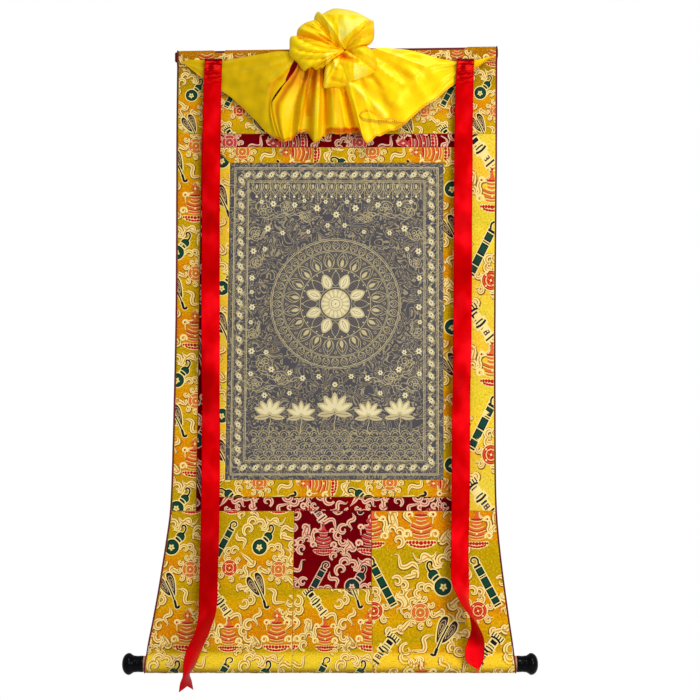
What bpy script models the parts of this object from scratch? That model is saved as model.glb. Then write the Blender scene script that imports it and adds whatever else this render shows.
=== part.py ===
"""A thangka: a hanging scroll of brocade strips sewn round a woven panel.

It has a flat batten in its top edge, a round roller with two turned knobs in its bottom
edge, two red streamers, and a yellow silk veil tied up into a rosette at the top.

Metres. +Z is up, -Y is the front, and Y = 0 is the face of the wall. The origin is the
middle of the top edge, on the wall side.
"""

import bisect
import math
from typing import NamedTuple

import bmesh
import bpy
from mathutils import Vector

# Cloth
CLOTH = 0.0010  # thickness of the brocade, the lining, the silk and the ribbon
GAP = 0.0004  # between pieces that are sewn or laid together
LINING_GAP = 0.0008
SEAM_GAP = 0.0003  # between two cuts that meet at a seam
SHARP_ANGLE = math.radians(45)  # creases above this stay sharp in the shading
BINDING_WIDTH = 0.0026
BINDING_THICKNESS = 0.0016

# Heights of the seams that run across
SEAM_UNDER_TOP_CUT = -0.1590
SEAM_RED_TOP = -0.1838
PICTURE_TOP = -0.2130
PICTURE_BOTTOM = -0.8017
SEAM_RED_BOTTOM = -0.8335
SEAM_OVER_SKIRT = -0.8595
DOOR_BOTTOM = -1.0035

# Batten in the top edge: a flat lath in its own dark red cover
BATTEN_LEFT = -0.2995
BATTEN_RIGHT = 0.3013
BATTEN_THICKNESS = 0.0080
BATTEN_HEIGHT = 0.0190
BATTEN_ROUNDING = 0.0030
TOP_SLOPE = 0.0140  # rise of the top edge for each metre to the right
LINING_BACK = -CLOTH  # the lining's inner face behind the batten, so its outer one is Y = 0
BATTEN_BACK = LINING_BACK - SEAM_GAP
BATTEN_FRONT = BATTEN_BACK - BATTEN_THICKNESS
BATTEN_TOP = -0.0026
SLEEVE_FRONT = BATTEN_FRONT - 2 * SEAM_GAP - CLOTH  # inner face of the brocade over the batten
TOP_CLOSURE = -0.0305  # where brocade and lining meet again under the batten
LINING_TURN_UP = TOP_CLOSURE - 0.0012

# Roller in the bottom edge, and its knobs
ROLLER_RADIUS = 0.0150
ROLLER_DEPTH = -0.0172
ROLLER_HEIGHT = -1.1429
SLEEVE_RADIUS = ROLLER_RADIUS + 2 * SEAM_GAP
ROLLER_LEFT = -0.3564
ROLLER_RIGHT = 0.3347
CREASE_RISE = 0.0200  # from the roller's axis up to the stitched line of its sleeve
HEM_RISE = 0.0320  # from the axis up to the cut end of the sleeve, behind the cloth
LINING_END = -1.1100
ROUND_STEPS = 28

# The cloth leans out from the batten to the roller, with slack waves in it
DEPTH_UNDER_BATTEN = -0.0062
DEPTH_OVER_ROLLER = ROLLER_DEPTH - GAP / 2
EDGE_CURL = -0.0022  # how far the side edges stand forward of the middle
HALF_WIDTH = 0.300

# How finely each cloth is divided
TOP_COLUMN = 0.026  # about how wide each column of the top cut is
TOP_ROWS = 4
SIDE_ROWS = 18
SKIRT_ROWS = 8
SLEEVE_STEPS = 14
LINING_COLUMNS, LINING_ROWS = 12, 26
BINDING_ROWS = 30
STREAMER_COLUMNS, STREAMER_STEPS = 4, 3

# The tape that ties the veil up, and the veil
TAPE_DEPTH = SLEEVE_FRONT - CLOTH - GAP
VEIL_DEPTH = SLEEVE_FRONT - CLOTH - 2 * GAP - CLOTH / 4
RIB_STEPS = 2  # columns of cloth from one rib of the veil to the next
VEIL_ROWS = 9
SLIT_ROWS = 5
SLIT_RIB = 9
# How far each row of the folds beside the slit is drawn to the right, from top to hem
SLIT_DRAWN = (0.0, 0.0034, 0.0078, 0.0079, 0.0017, -0.0054, -0.0045, -0.0020, -0.0005, 0.0)

# Rosette
ROSETTE_X, ROSETTE_Z = 0.0149, -0.0071
ROSETTE_BULGE = 0.044
ROSETTE_PIT = 0.40  # share of the bulge that is left at the gathered middle
ROSETTE_BACK = -0.0142
ROSETTE_FOOT = 0.006  # from its back up to where the lobes start to swell
ROSETTE_STEPS = 60
ROSETTE_RINGS = (0.16, 0.34, 0.52, 0.70, 0.85, 0.96)
ROSETTE_BACK_RINGS = (0.93,)


class EdgeRow(NamedTuple):
    """The outer edges of the whole cloth at one height."""

    z: float
    left: float
    right: float


class Wave(NamedTuple):
    """One slack wave in the hung cloth."""

    height: float
    length_x: float
    length_z: float
    phase: float


class Rib(NamedTuple):
    """One fold line of the veil, as (x, z, how far it stands out) at three places on it."""

    top: tuple
    middle: tuple
    hem: tuple


class Lobe(NamedTuple):
    """One point of the rosette's outline, and how full it is there."""

    angle: float
    radius: float
    fullness: float


class RibbonRow(NamedTuple):
    """A streamer's cross-section: its place, its turn about its own length and its cupping."""

    z: float
    x: float
    y: float
    turn: float
    cup: float
    width: float


EDGES = (
    EdgeRow(z=-1.1640, left=-0.3562, right=0.3346),
    EdgeRow(z=-1.1150, left=-0.3506, right=0.3298),
    EdgeRow(z=-1.0630, left=-0.3406, right=0.3222),
    EdgeRow(z=-1.0110, left=-0.3310, right=0.3150),
    EdgeRow(z=-0.9590, left=-0.3225, right=0.3082),
    EdgeRow(z=-0.9070, left=-0.3142, right=0.3026),
    EdgeRow(z=-0.8595, left=-0.3080, right=0.2989),
    EdgeRow(z=-0.8030, left=-0.3050, right=0.2972),
    EdgeRow(z=-0.6540, left=-0.3012, right=0.2963),
    EdgeRow(z=-0.4680, left=-0.2978, right=0.2968),
    EdgeRow(z=-0.1590, left=-0.2970, right=0.2996),
    EdgeRow(z=0.0100, left=-0.2954, right=0.3004),
)

WAVES = (
    Wave(height=0.0012, length_x=0.90, length_z=0.41, phase=0.6),
    Wave(height=0.0007, length_x=0.37, length_z=0.95, phase=2.1),
)

# Seams that run down, as x at SEAM_UNDER_TOP_CUT and at SEAM_OVER_SKIRT
SIDE_SEAMS = {
    "red_outer_left": (-0.2490, -0.2595),
    "red_inner_left": (-0.2241, -0.2347),
    "picture_left": (-0.1958, -0.2066),
    "picture_right": (0.1990, 0.1990),
    "red_inner_right": (0.2262, 0.2225),
    "red_outer_right": (0.2507, 0.2470),
}

# Seams of the skirt under the picture, as x at SEAM_OVER_SKIRT and at the roller
SKIRT_SEAMS = {"door_left": (-0.0774, -0.0818), "door_right": (0.0653, 0.0675)}

# The brocade over the batten, seen from its end: (y, z) of its inner face, going up
TOP_FOLD = (
    (DEPTH_UNDER_BATTEN, TOP_CLOSURE),
    (-0.0089, -0.0260),
    (SLEEVE_FRONT, -0.0215),
    (SLEEVE_FRONT, -0.0058),
    (SLEEVE_FRONT, -0.0040),
    (SLEEVE_FRONT + 0.0009, -0.0019),
    (SLEEVE_FRONT + 0.0030, -0.0010),
    (-0.0030, -0.0010),
)
# Where the brocade has slipped down and shows the red lining over the batten, from x to x
SLIPS = ((-0.2270, -0.2065), (0.0850, 0.2420))
SLIP_ROWS = 4  # how many of TOP_FOLD's steps, from its end, are bare there
# The lining over the batten: (y, z) of its inner face, going up the back and over
LINING_FOLD = (
    (-0.0032, -0.0285),
    (-0.0013, -0.0255),
    (LINING_BACK, -0.0230),
    (LINING_BACK, -0.0046),
    (LINING_BACK - 0.0007, -0.0029),
    (LINING_BACK - 0.0023, -0.0023),
    (BATTEN_FRONT - SEAM_GAP + 0.0023, -0.0023),
    (BATTEN_FRONT - SEAM_GAP + 0.0007, -0.0029),
    (BATTEN_FRONT - SEAM_GAP, -0.0046),
    (BATTEN_FRONT - SEAM_GAP, -0.0088),
)

# The veil from its left corner to its right one
RIBS = (
    Rib((-0.2872, -0.0244, 0.0003), (-0.2862, -0.0256, 0.0003), (-0.2853, -0.0268, 0.0003)),
    Rib((-0.2676, -0.0222, 0.0004), (-0.2657, -0.0330, 0.0008), (-0.2638, -0.0433, 0.0008)),
    Rib((-0.2472, -0.0224, 0.0003), (-0.2444, -0.0417, 0.0008), (-0.2416, -0.0610, 0.0008)),
    Rib((-0.2268, -0.0236, 0.0003), (-0.2238, -0.0489, 0.0008), (-0.2208, -0.0752, 0.0008)),
    Rib((-0.2078, -0.0236, 0.0006), (-0.2032, -0.0568, 0.0030), (-0.1989, -0.0891, 0.0020)),
    Rib((-0.1858, -0.0197, 0.0010), (-0.1807, -0.0663, 0.0062), (-0.1763, -0.1087, 0.0035)),
    Rib((-0.1598, -0.0149, 0.0015), (-0.1564, -0.0757, 0.0085), (-0.1521, -0.1321, 0.0050)),
    Rib((-0.1337, -0.0106, 0.0020), (-0.1352, -0.0823, 0.0125), (-0.1335, -0.1527, 0.0060)),
    Rib((-0.1047, -0.0067, 0.0040), (-0.1194, -0.0840, 0.0110), (-0.1196, -0.1632, 0.0070)),
    Rib((-0.0657, -0.0098, 0.0080), (-0.1132, -0.0901, 0.0150), (-0.1090, -0.1705, 0.0100)),
    Rib((-0.0567, -0.0098, 0.0080), (-0.1078, -0.0936, 0.0150), (-0.1014, -0.1744, 0.0130)),
    Rib((-0.0557, -0.0198, 0.0080), (-0.0951, -0.0993, 0.0200), (-0.0933, -0.1779, 0.0170)),
    Rib((-0.0498, -0.0246, 0.0070), (-0.0726, -0.0978, 0.0100), (-0.0835, -0.1709, 0.0050)),
    Rib((-0.0437, -0.0259, 0.0090), (-0.0594, -0.0935, 0.0210), (-0.0685, -0.1582, 0.0150)),
    Rib((-0.0378, -0.0256, 0.0070), (-0.0477, -0.0918, 0.0100), (-0.0518, -0.1599, 0.0050)),
    Rib((-0.0328, -0.0259, 0.0090), (-0.0375, -0.0998, 0.0230), (-0.0395, -0.1791, 0.0190)),
    Rib((-0.0278, -0.0269, 0.0090), (-0.0276, -0.0973, 0.0200), (-0.0297, -0.1712, 0.0150)),
    Rib((-0.0228, -0.0297, 0.0080), (-0.0198, -0.0920, 0.0110), (-0.0185, -0.1630, 0.0060)),
    Rib((-0.0138, -0.0361, 0.0100), (-0.0058, -0.0945, 0.0210), (-0.0009, -0.1606, 0.0150)),
    Rib((-0.0069, -0.0400, 0.0100), (0.0061, -0.0962, 0.0190), (0.0167, -0.1602, 0.0130)),
    Rib((0.0001, -0.0437, 0.0080), (0.0190, -0.0968, 0.0100), (0.0318, -0.1592, 0.0060)),
    Rib((0.0081, -0.0482, 0.0110), (0.0270, -0.1029, 0.0170), (0.0427, -0.1587, 0.0110)),
    Rib((0.0180, -0.0425, 0.0130), (0.0379, -0.1100, 0.0250), (0.0556, -0.1765, 0.0180)),
    Rib((0.0320, -0.0326, 0.0130), (0.0558, -0.0998, 0.0230), (0.0787, -0.1649, 0.0130)),
    Rib((0.0439, -0.0207, 0.0130), (0.0757, -0.0891, 0.0180), (0.1057, -0.1546, 0.0100)),
    Rib((0.0559, -0.0085, 0.0120), (0.0945, -0.0776, 0.0210), (0.1291, -0.1416, 0.0130)),
    Rib((0.0835, -0.0016, 0.0100), (0.1205, -0.0596, 0.0140), (0.1554, -0.1168, 0.0080)),
    Rib((0.1088, -0.0026, 0.0070), (0.1423, -0.0532, 0.0170), (0.1726, -0.1043, 0.0070)),
    Rib((0.1337, -0.0048, 0.0050), (0.1594, -0.0492, 0.0110), (0.1862, -0.0963, 0.0050)),
    Rib((0.1586, -0.0099, 0.0035), (0.1793, -0.0472, 0.0110), (0.2006, -0.0827, 0.0040)),
    Rib((0.1818, -0.0172, 0.0020), (0.1976, -0.0453, 0.0060), (0.2127, -0.0733, 0.0030)),
    Rib((0.2028, -0.0220, 0.0008), (0.2128, -0.0437, 0.0020), (0.2230, -0.0656, 0.0015)),
    Rib((0.2231, -0.0244, 0.0003), (0.2305, -0.0375, 0.0008), (0.2379, -0.0525, 0.0008)),
    Rib((0.2416, -0.0246, 0.0003), (0.2463, -0.0330, 0.0008), (0.2509, -0.0414, 0.0008)),
    Rib((0.2598, -0.0224, 0.0003), (0.2618, -0.0295, 0.0008), (0.2638, -0.0355, 0.0008)),
    Rib((0.2788, -0.0179, 0.0003), (0.2795, -0.0206, 0.0005), (0.2801, -0.0234, 0.0005)),
    Rib((0.2948, -0.0129, 0.0003), (0.2950, -0.0144, 0.0003), (0.2953, -0.0159, 0.0003)),
)

# The rosette's outline from below on the left, round over the top, as degrees from +X
LOBES = (
    Lobe(angle=-154.0, radius=0.0815, fullness=0.62),
    Lobe(angle=-168.0, radius=0.0900, fullness=0.74),
    Lobe(angle=-182.0, radius=0.1000, fullness=0.66),
    Lobe(angle=-195.0, radius=0.1025, fullness=0.62),
    Lobe(angle=-200.0, radius=0.0930, fullness=0.52),
    Lobe(angle=-206.0, radius=0.0950, fullness=0.46),
    Lobe(angle=-216.0, radius=0.0915, fullness=0.72),
    Lobe(angle=-227.0, radius=0.0830, fullness=0.64),
    Lobe(angle=-236.0, radius=0.0900, fullness=0.84),
    Lobe(angle=-249.0, radius=0.0825, fullness=0.94),
    Lobe(angle=-266.0, radius=0.0838, fullness=1.00),
    Lobe(angle=-286.0, radius=0.0806, fullness=0.92),
    Lobe(angle=-303.0, radius=0.0815, fullness=0.96),
    Lobe(angle=-314.0, radius=0.0815, fullness=0.78),
    Lobe(angle=-326.0, radius=0.0690, fullness=0.82),
    Lobe(angle=-340.0, radius=0.0560, fullness=0.70),
    Lobe(angle=-346.0, radius=0.0480, fullness=0.42),
    Lobe(angle=-366.0, radius=0.0600, fullness=0.70),
    Lobe(angle=-380.0, radius=0.0690, fullness=0.84),
    Lobe(angle=-391.0, radius=0.0700, fullness=0.52),
    Lobe(angle=-402.0, radius=0.0640, fullness=0.80),
    Lobe(angle=-430.0, radius=0.0565, fullness=0.86),
    Lobe(angle=-458.0, radius=0.0650, fullness=0.92),
    Lobe(angle=-478.0, radius=0.0765, fullness=0.72),
    Lobe(angle=-490.0, radius=0.0600, fullness=0.60),
    Lobe(angle=-501.0, radius=0.0480, fullness=0.40),
)

LEFT_STREAMER = (
    RibbonRow(z=-0.0206, x=-0.2270, y=-0.0182, turn=0, cup=0.0000, width=0.0325),
    RibbonRow(z=-0.0974, x=-0.2293, y=-0.0215, turn=3, cup=0.0006, width=0.0335),
    RibbonRow(z=-0.2462, x=-0.2309, y=-0.0237, turn=-5, cup=0.0010, width=0.0340),
    RibbonRow(z=-0.4685, x=-0.2319, y=-0.0272, turn=4, cup=0.0008, width=0.0340),
    RibbonRow(z=-0.6902, x=-0.2309, y=-0.0307, turn=-6, cup=0.0012, width=0.0340),
    RibbonRow(z=-0.8748, x=-0.2320, y=-0.0337, turn=5, cup=0.0010, width=0.0340),
    RibbonRow(z=-0.9945, x=-0.2349, y=-0.0367, turn=4, cup=0.0014, width=0.0340),
    RibbonRow(z=-1.0329, x=-0.2356, y=-0.0387, turn=14, cup=0.0022, width=0.0340),
    RibbonRow(z=-1.0581, x=-0.2386, y=-0.0417, turn=26, cup=0.0030, width=0.0340),
    RibbonRow(z=-1.0832, x=-0.2470, y=-0.0457, turn=34, cup=0.0035, width=0.0340),
    RibbonRow(z=-1.1083, x=-0.2590, y=-0.0492, turn=32, cup=0.0035, width=0.0340),
    RibbonRow(z=-1.1336, x=-0.2678, y=-0.0512, turn=42, cup=0.0035, width=0.0335),
    RibbonRow(z=-1.1474, x=-0.2723, y=-0.0512, turn=54, cup=0.0040, width=0.0330),
    RibbonRow(z=-1.1565, x=-0.2762, y=-0.0502, turn=66, cup=0.0045, width=0.0330),
    RibbonRow(z=-1.1677, x=-0.2766, y=-0.0487, turn=54, cup=0.0035, width=0.0330),
    RibbonRow(z=-1.1788, x=-0.2763, y=-0.0472, turn=42, cup=0.0025, width=0.0330),
)

RIGHT_STREAMER = (
    RibbonRow(z=-0.0211, x=0.2399, y=-0.0182, turn=0, cup=0.0000, width=0.0320),
    RibbonRow(z=-0.0974, x=0.2374, y=-0.0215, turn=-4, cup=0.0006, width=0.0335),
    RibbonRow(z=-0.2462, x=0.2354, y=-0.0237, turn=4, cup=0.0010, width=0.0340),
    RibbonRow(z=-0.4685, x=0.2343, y=-0.0272, turn=-5, cup=0.0008, width=0.0340),
    RibbonRow(z=-0.6902, x=0.2312, y=-0.0307, turn=5, cup=0.0012, width=0.0335),
    RibbonRow(z=-0.8014, x=0.2305, y=-0.0324, turn=-3, cup=0.0010, width=0.0335),
    RibbonRow(z=-0.9114, x=0.2288, y=-0.0347, turn=5, cup=0.0012, width=0.0335),
    RibbonRow(z=-0.9815, x=0.2291, y=-0.0377, turn=20, cup=0.0024, width=0.0335),
    RibbonRow(z=-1.0069, x=0.2328, y=-0.0402, turn=46, cup=0.0040, width=0.0335),
    RibbonRow(z=-1.0255, x=0.2369, y=-0.0417, turn=66, cup=0.0050, width=0.0330),
    RibbonRow(z=-1.0442, x=0.2428, y=-0.0422, turn=90, cup=0.0055, width=0.0330),
    RibbonRow(z=-1.0620, x=0.2513, y=-0.0422, turn=110, cup=0.0055, width=0.0330),
    RibbonRow(z=-1.0808, x=0.2572, y=-0.0427, turn=126, cup=0.0050, width=0.0330),
    RibbonRow(z=-1.0963, x=0.2568, y=-0.0442, turn=144, cup=0.0045, width=0.0335),
    RibbonRow(z=-1.1120, x=0.2552, y=-0.0452, turn=166, cup=0.0040, width=0.0345),
    RibbonRow(z=-1.1249, x=0.2549, y=-0.0447, turn=178, cup=0.0035, width=0.0350),
    RibbonRow(z=-1.1359, x=0.2566, y=-0.0442, turn=180, cup=0.0030, width=0.0270),
    RibbonRow(z=-1.1439, x=0.2601, y=-0.0437, turn=180, cup=0.0015, width=0.0110),
    RibbonRow(z=-1.1474, x=0.2615, y=-0.0437, turn=180, cup=0.0000, width=0.0030),
)

# A knob from the cloth's end outwards: (distance, radius)
KNOB_PROFILE = (
    (0.0000, 0.0146),
    (0.0020, 0.0152),
    (0.0060, 0.0150),
    (0.0120, 0.0149),
    (0.0165, 0.0153),
    (0.0195, 0.0163),
    (0.0222, 0.0181),
    (0.0245, 0.0196),
    (0.0268, 0.0201),
    (0.0292, 0.0198),
    (0.0318, 0.0186),
    (0.0345, 0.0164),
    (0.0368, 0.0132),
    (0.0384, 0.0092),
    (0.0393, 0.0047),
    (0.0396, 0.0000),
)

# --- Ways of working out points -------------------------------------------------------


def mix(a, b, share):
    return a + (b - a) * share


def ease(share):
    share = min(max(share, 0.0), 1.0)
    return share * share * (3 - 2 * share)


def smooth_at(places, values, place):
    """The smooth curve through values at places, which rise, read at place."""
    place = min(max(place, places[0]), places[-1])
    low = min(max(bisect.bisect_right(places, place) - 1, 0), len(places) - 2)
    span = places[low + 1] - places[low]
    share = (place - places[low]) / span
    slopes = []
    for k in (low, low + 1):
        before, after = max(k - 1, 0), min(k + 1, len(places) - 1)
        slopes.append((values[after] - values[before]) / (places[after] - places[before]) * span)
    square, cube = share**2, share**3
    return (
        (2 * cube - 3 * square + 1) * values[low]
        + (cube - 2 * square + share) * slopes[0]
        + (3 * square - 2 * cube) * values[low + 1]
        + (cube - square) * slopes[1]
    )


def spread(first, last, count):
    """count + 1 even steps from first to last."""
    return [mix(first, last, k / count) for k in range(count + 1)]


def edge_x(side, z):
    """The cloth's outer edge on the left or the right at a height."""
    return smooth_at([row.z for row in EDGES], [getattr(row, side) for row in EDGES], z)


def side_seam_x(name, z):
    top, bottom = SIDE_SEAMS[name]
    share = (z - SEAM_UNDER_TOP_CUT) / (SEAM_OVER_SKIRT - SEAM_UNDER_TOP_CUT)
    return mix(top, bottom, share)


def skirt_seam_x(name, z):
    top, bottom = SKIRT_SEAMS[name]
    return mix(top, bottom, (z - SEAM_OVER_SKIRT) / (ROLLER_HEIGHT - SEAM_OVER_SKIRT))


def cloth_depth(x, z):
    """Y of the brocade's inner face between batten and roller."""
    crease = ROLLER_HEIGHT + CREASE_RISE
    share = (z - TOP_CLOSURE) / (crease - TOP_CLOSURE)
    slack = ease(share / 0.16) * ease((1 - share) / 0.24)
    waves = sum(
        wave.height * math.sin(math.tau * (x / wave.length_x + z / wave.length_z) + wave.phase)
        for wave in WAVES
    )
    curl = EDGE_CURL * min(abs(x) / HALF_WIDTH, 1.2) ** 3
    return mix(DEPTH_UNDER_BATTEN, DEPTH_OVER_ROLLER, share) + slack * (waves + curl)


def top_fold_points(x_at):
    """The brocade's inner face over the batten, from its end down to the closure."""
    return [Vector((x_at(z), y, z + TOP_SLOPE * x_at(z))) for y, z in reversed(TOP_FOLD)]


def sleeve_points(x_at):
    """The brocade's inner face round the roller, from the crease to its end at the back."""
    lean = math.acos(SLEEVE_RADIUS / CREASE_RISE)
    line = []
    for angle in spread(lean, math.tau - lean, SLEEVE_STEPS):
        y = ROLLER_DEPTH - SLEEVE_RADIUS * math.sin(angle)
        line.append((y, ROLLER_HEIGHT + SLEEVE_RADIUS * math.cos(angle)))
    for rise in (CREASE_RISE, HEM_RISE):
        line.append((ROLLER_DEPTH + GAP / 2, ROLLER_HEIGHT + rise))
    return [Vector((x_at(z), y, z)) for y, z in line]


# --- Ways of making objects ------------------------------------------------------------


def material(name, colour, roughness, metallic=0.0):
    made = bpy.data.materials.new(name)
    made.use_nodes = True
    surface = made.node_tree.nodes["Principled BSDF"]
    surface.inputs["Base Color"].default_value = (*colour, 1.0)
    surface.inputs["Roughness"].default_value = roughness
    surface.inputs["Metallic"].default_value = metallic
    return made


def new_object(name, shape, finish):
    """A mesh object from a bmesh, which it uses up."""
    mesh = bpy.data.meshes.new(name)
    shape.to_mesh(mesh)
    shape.free()
    mesh.materials.append(finish)
    made = bpy.data.objects.new(name, mesh)
    bpy.context.scene.collection.objects.link(made)
    return made


def add_sheet(name, rows, finish, thickness=CLOTH, skip=()):
    """Cloth of one thickness. rows are its inner face, and it grows away from them.

    skip names the (row, column) cells that are left open.
    """
    shape = bmesh.new()
    corners = [[shape.verts.new(point) for point in row] for row in rows]
    for r, (upper, lower) in enumerate(zip(corners, corners[1:])):
        for c in range(len(upper) - 1):
            if (r, c) not in skip:
                shape.faces.new((upper[c], lower[c], lower[c + 1], upper[c + 1]))
    shape.normal_update()
    for face in shape.faces:
        face.smooth = True
    for edge in shape.edges:
        edge.smooth = not edge.is_boundary and edge.calc_face_angle() < SHARP_ANGLE
    made = new_object(name, shape, finish)
    solid = made.modifiers.new("Thickness", "SOLIDIFY")
    solid.thickness = thickness
    solid.offset = 1.0
    solid.use_even_offset = True
    return made


def hung(x, z):
    return Vector((x, cloth_depth(x, z), z))


def add_cut(name, corners, columns, rows, finish):
    """A four-sided cut of cloth. corners are (x, z): top left, top right, bottom right, bottom left."""
    top_left, top_right, bottom_right, bottom_left = inset_corners(corners, SEAM_GAP / 2)
    grid = []
    for v in spread(0.0, 1.0, rows):
        left = mix(top_left, bottom_left, v)
        right = mix(top_right, bottom_right, v)
        grid.append([hung(*mix(left, right, u)) for u in spread(0.0, 1.0, columns)])
    return add_sheet(name, grid, finish)


def inset_corners(corners, distance):
    """The corners of a clockwise outline moved in, so that each side moves by distance."""
    points = [Vector(corner) for corner in corners]
    moved = []
    for k, point in enumerate(points):
        before = (point - points[k - 1]).normalized()
        after = (points[(k + 1) % len(points)] - point).normalized()
        # The inward side of a clockwise outline is on the right of its direction.
        inward = Vector((before.y, -before.x)) + Vector((after.y, -after.x))
        moved.append(point + inward * (distance / (1 + before.dot(after))))
    return moved


# --- The sewn cloth ----------------------------------------------------------------------


def add_frame(name, outer, inner, finish):
    """Four strips with mitred corners. outer and inner hold the seams left, right, top and bottom."""

    def corner(frame, side, height):
        return (side_seam_x(frame[side], frame[height]), frame[height])

    names = (
        ("top", (0, 2), (1, 2)),
        ("right", (1, 2), (1, 3)),
        ("bottom", (1, 3), (0, 3)),
        ("left", (0, 3), (0, 2)),
    )
    for side, first, second in names:
        corners = [
            corner(outer, *first),
            corner(outer, *second),
            corner(inner, *second),
            corner(inner, *first),
        ]
        add_cut(f"{name}_{side}", corners, columns=10, rows=1, finish=finish)


def add_picture(finish):
    corners = [
        (side_seam_x("picture_left", PICTURE_TOP), PICTURE_TOP),
        (side_seam_x("picture_right", PICTURE_TOP), PICTURE_TOP),
        (side_seam_x("picture_right", PICTURE_BOTTOM), PICTURE_BOTTOM),
        (side_seam_x("picture_left", PICTURE_BOTTOM), PICTURE_BOTTOM),
    ]
    add_cut("picture_panel", corners, columns=7, rows=12, finish=finish)


def add_top_cut(finish):
    """The brocade from the batten down to the first seam, over the whole width."""
    left, right = cloth_span(0.0)
    marks = [left, *(x for slip in SLIPS for x in slip), right]
    places = [left]
    for near, far in zip(marks, marks[1:]):
        places.extend(spread(near, far, math.ceil((far - near) / TOP_COLUMN))[1:])
    columns = []
    for place in places:

        def x_at(z, u=(place - left) / (right - left)):
            return mix(*cloth_span(z), u)

        column = top_fold_points(x_at)
        for z in spread(column[-1].z, SEAM_UNDER_TOP_CUT + SEAM_GAP / 2, TOP_ROWS)[1:]:
            column.append(hung(x_at(z), z))
        columns.append(column)
    slipped = [
        c
        for c, (near, far) in enumerate(zip(places, places[1:]))
        if any(low < (near + far) / 2 < high for low, high in SLIPS)
    ]
    bare = [(r, c) for r in range(SLIP_ROWS) for c in slipped]
    add_sheet("brocade_top", list(zip(*columns)), finish, skip=bare)


def cloth_span(z):
    """The left and right ends of the brocade at a height, inside the bindings."""
    inset = BINDING_WIDTH + 2 * SEAM_GAP
    return edge_x("left", z) + inset, edge_x("right", z) - inset


def add_side_strip(name, side, finish):
    top = SEAM_UNDER_TOP_CUT - SEAM_GAP / 2
    bottom = SEAM_OVER_SKIRT + SEAM_GAP / 2
    rows = []
    for z in spread(top, bottom, SIDE_ROWS):
        left_end, right_end = cloth_span(z)
        if side == "left":
            ends = (left_end, side_seam_x("red_outer_left", z) - SEAM_GAP / 2)
        else:
            ends = (side_seam_x("red_outer_right", z) + SEAM_GAP / 2, right_end)
        rows.append([hung(x, z) for x in spread(*ends, 1)])
    add_sheet(name, rows, finish)


def add_skirt_cut(name, left, right, top, columns, finish):
    """A cut of the skirt, which goes round the roller and ends behind itself."""
    crease = ROLLER_HEIGHT + CREASE_RISE
    lines = []
    for u in spread(0.0, 1.0, columns):

        def x_at(z, u=u):
            return mix(left(z), right(z), u)

        line = [hung(x_at(z), z) for z in spread(top - SEAM_GAP / 2, crease, SKIRT_ROWS)]
        lines.append(line + sleeve_points(x_at))
    add_sheet(name, list(zip(*lines)), finish)


def add_skirt(yellow, red):
    """Three brocade cuts with the square red door let in between them."""

    def outer(side):
        return lambda z: cloth_span(z)[side]

    def beside(name, gap):
        return lambda z: skirt_seam_x(name, z) + gap

    half = SEAM_GAP / 2
    wide, narrow = 6, 3
    cuts = (
        ("left", outer(0), beside("door_left", -half), SEAM_OVER_SKIRT, wide),
        ("middle", beside("door_left", half), beside("door_right", -half), DOOR_BOTTOM, narrow),
        ("right", beside("door_right", half), outer(1), SEAM_OVER_SKIRT, wide),
    )
    for name, left, right, top, columns in cuts:
        add_skirt_cut(f"brocade_skirt_{name}", left, right, top, columns, yellow)
    door = [
        (skirt_seam_x("door_left", SEAM_OVER_SKIRT), SEAM_OVER_SKIRT),
        (skirt_seam_x("door_right", SEAM_OVER_SKIRT), SEAM_OVER_SKIRT),
        (skirt_seam_x("door_right", DOOR_BOTTOM), DOOR_BOTTOM),
        (skirt_seam_x("door_left", DOOR_BOTTOM), DOOR_BOTTOM),
    ]
    add_cut("brocade_door", door, columns=3, rows=4, finish=red)


def add_lining(finish):
    """The dark red back cloth, from over the roller up the back and over the batten."""
    columns = []
    for u in spread(0.0, 1.0, LINING_COLUMNS):

        def x_at(z, u=u):
            return mix(edge_x("left", z), edge_x("right", z), u)

        column = []
        turn_up = LINING_TURN_UP + TOP_SLOPE * x_at(LINING_TURN_UP)
        for z in spread(LINING_END, turn_up, LINING_ROWS):
            column.append(hung(x_at(z), z) + Vector((0.0, LINING_GAP, 0.0)))
        for y, z in LINING_FOLD:
            column.append(Vector((x_at(z), y, z + TOP_SLOPE * x_at(z))))
        columns.append(column)
    add_sheet("lining", list(zip(*columns)), finish)


def add_binding(side, finish):
    """The dark red binding of one side edge, over the batten, down and round the roller."""
    inward = BINDING_WIDTH if side == "left" else -BINDING_WIDTH

    def ends(z):
        return sorted((edge_x(side, z), edge_x(side, z) + inward))

    crease = ROLLER_HEIGHT + CREASE_RISE
    pair = []
    for end in (0, 1):

        def x_at(z, end=end):
            return ends(z)[end]

        column = top_fold_points(x_at)
        for z in spread(column[-1].z, crease, BINDING_ROWS)[1:]:
            column.append(hung(x_at(z), z))
        column.extend(sleeve_points(x_at))
        pair.append(column)
    add_sheet(f"binding_{side}", list(zip(*pair)), finish, thickness=BINDING_THICKNESS)


# --- Batten, roller and knobs --------------------------------------------------------------


def add_batten(finish):
    shape = bmesh.new()
    bmesh.ops.create_cube(shape, size=1.0)
    size = (BATTEN_RIGHT - BATTEN_LEFT, BATTEN_THICKNESS, BATTEN_HEIGHT)
    bmesh.ops.scale(shape, vec=size, verts=shape.verts)
    made = new_object("top_batten", shape, finish)
    middle_x = (BATTEN_LEFT + BATTEN_RIGHT) / 2
    made.location = (
        middle_x,
        (BATTEN_BACK + BATTEN_FRONT) / 2,
        BATTEN_TOP - BATTEN_HEIGHT / 2 + TOP_SLOPE * middle_x,
    )
    made.rotation_euler.y = -math.atan(TOP_SLOPE)
    rounding = made.modifiers.new("Rounding", "BEVEL")
    rounding.width = BATTEN_ROUNDING
    rounding.segments = 3


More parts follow.
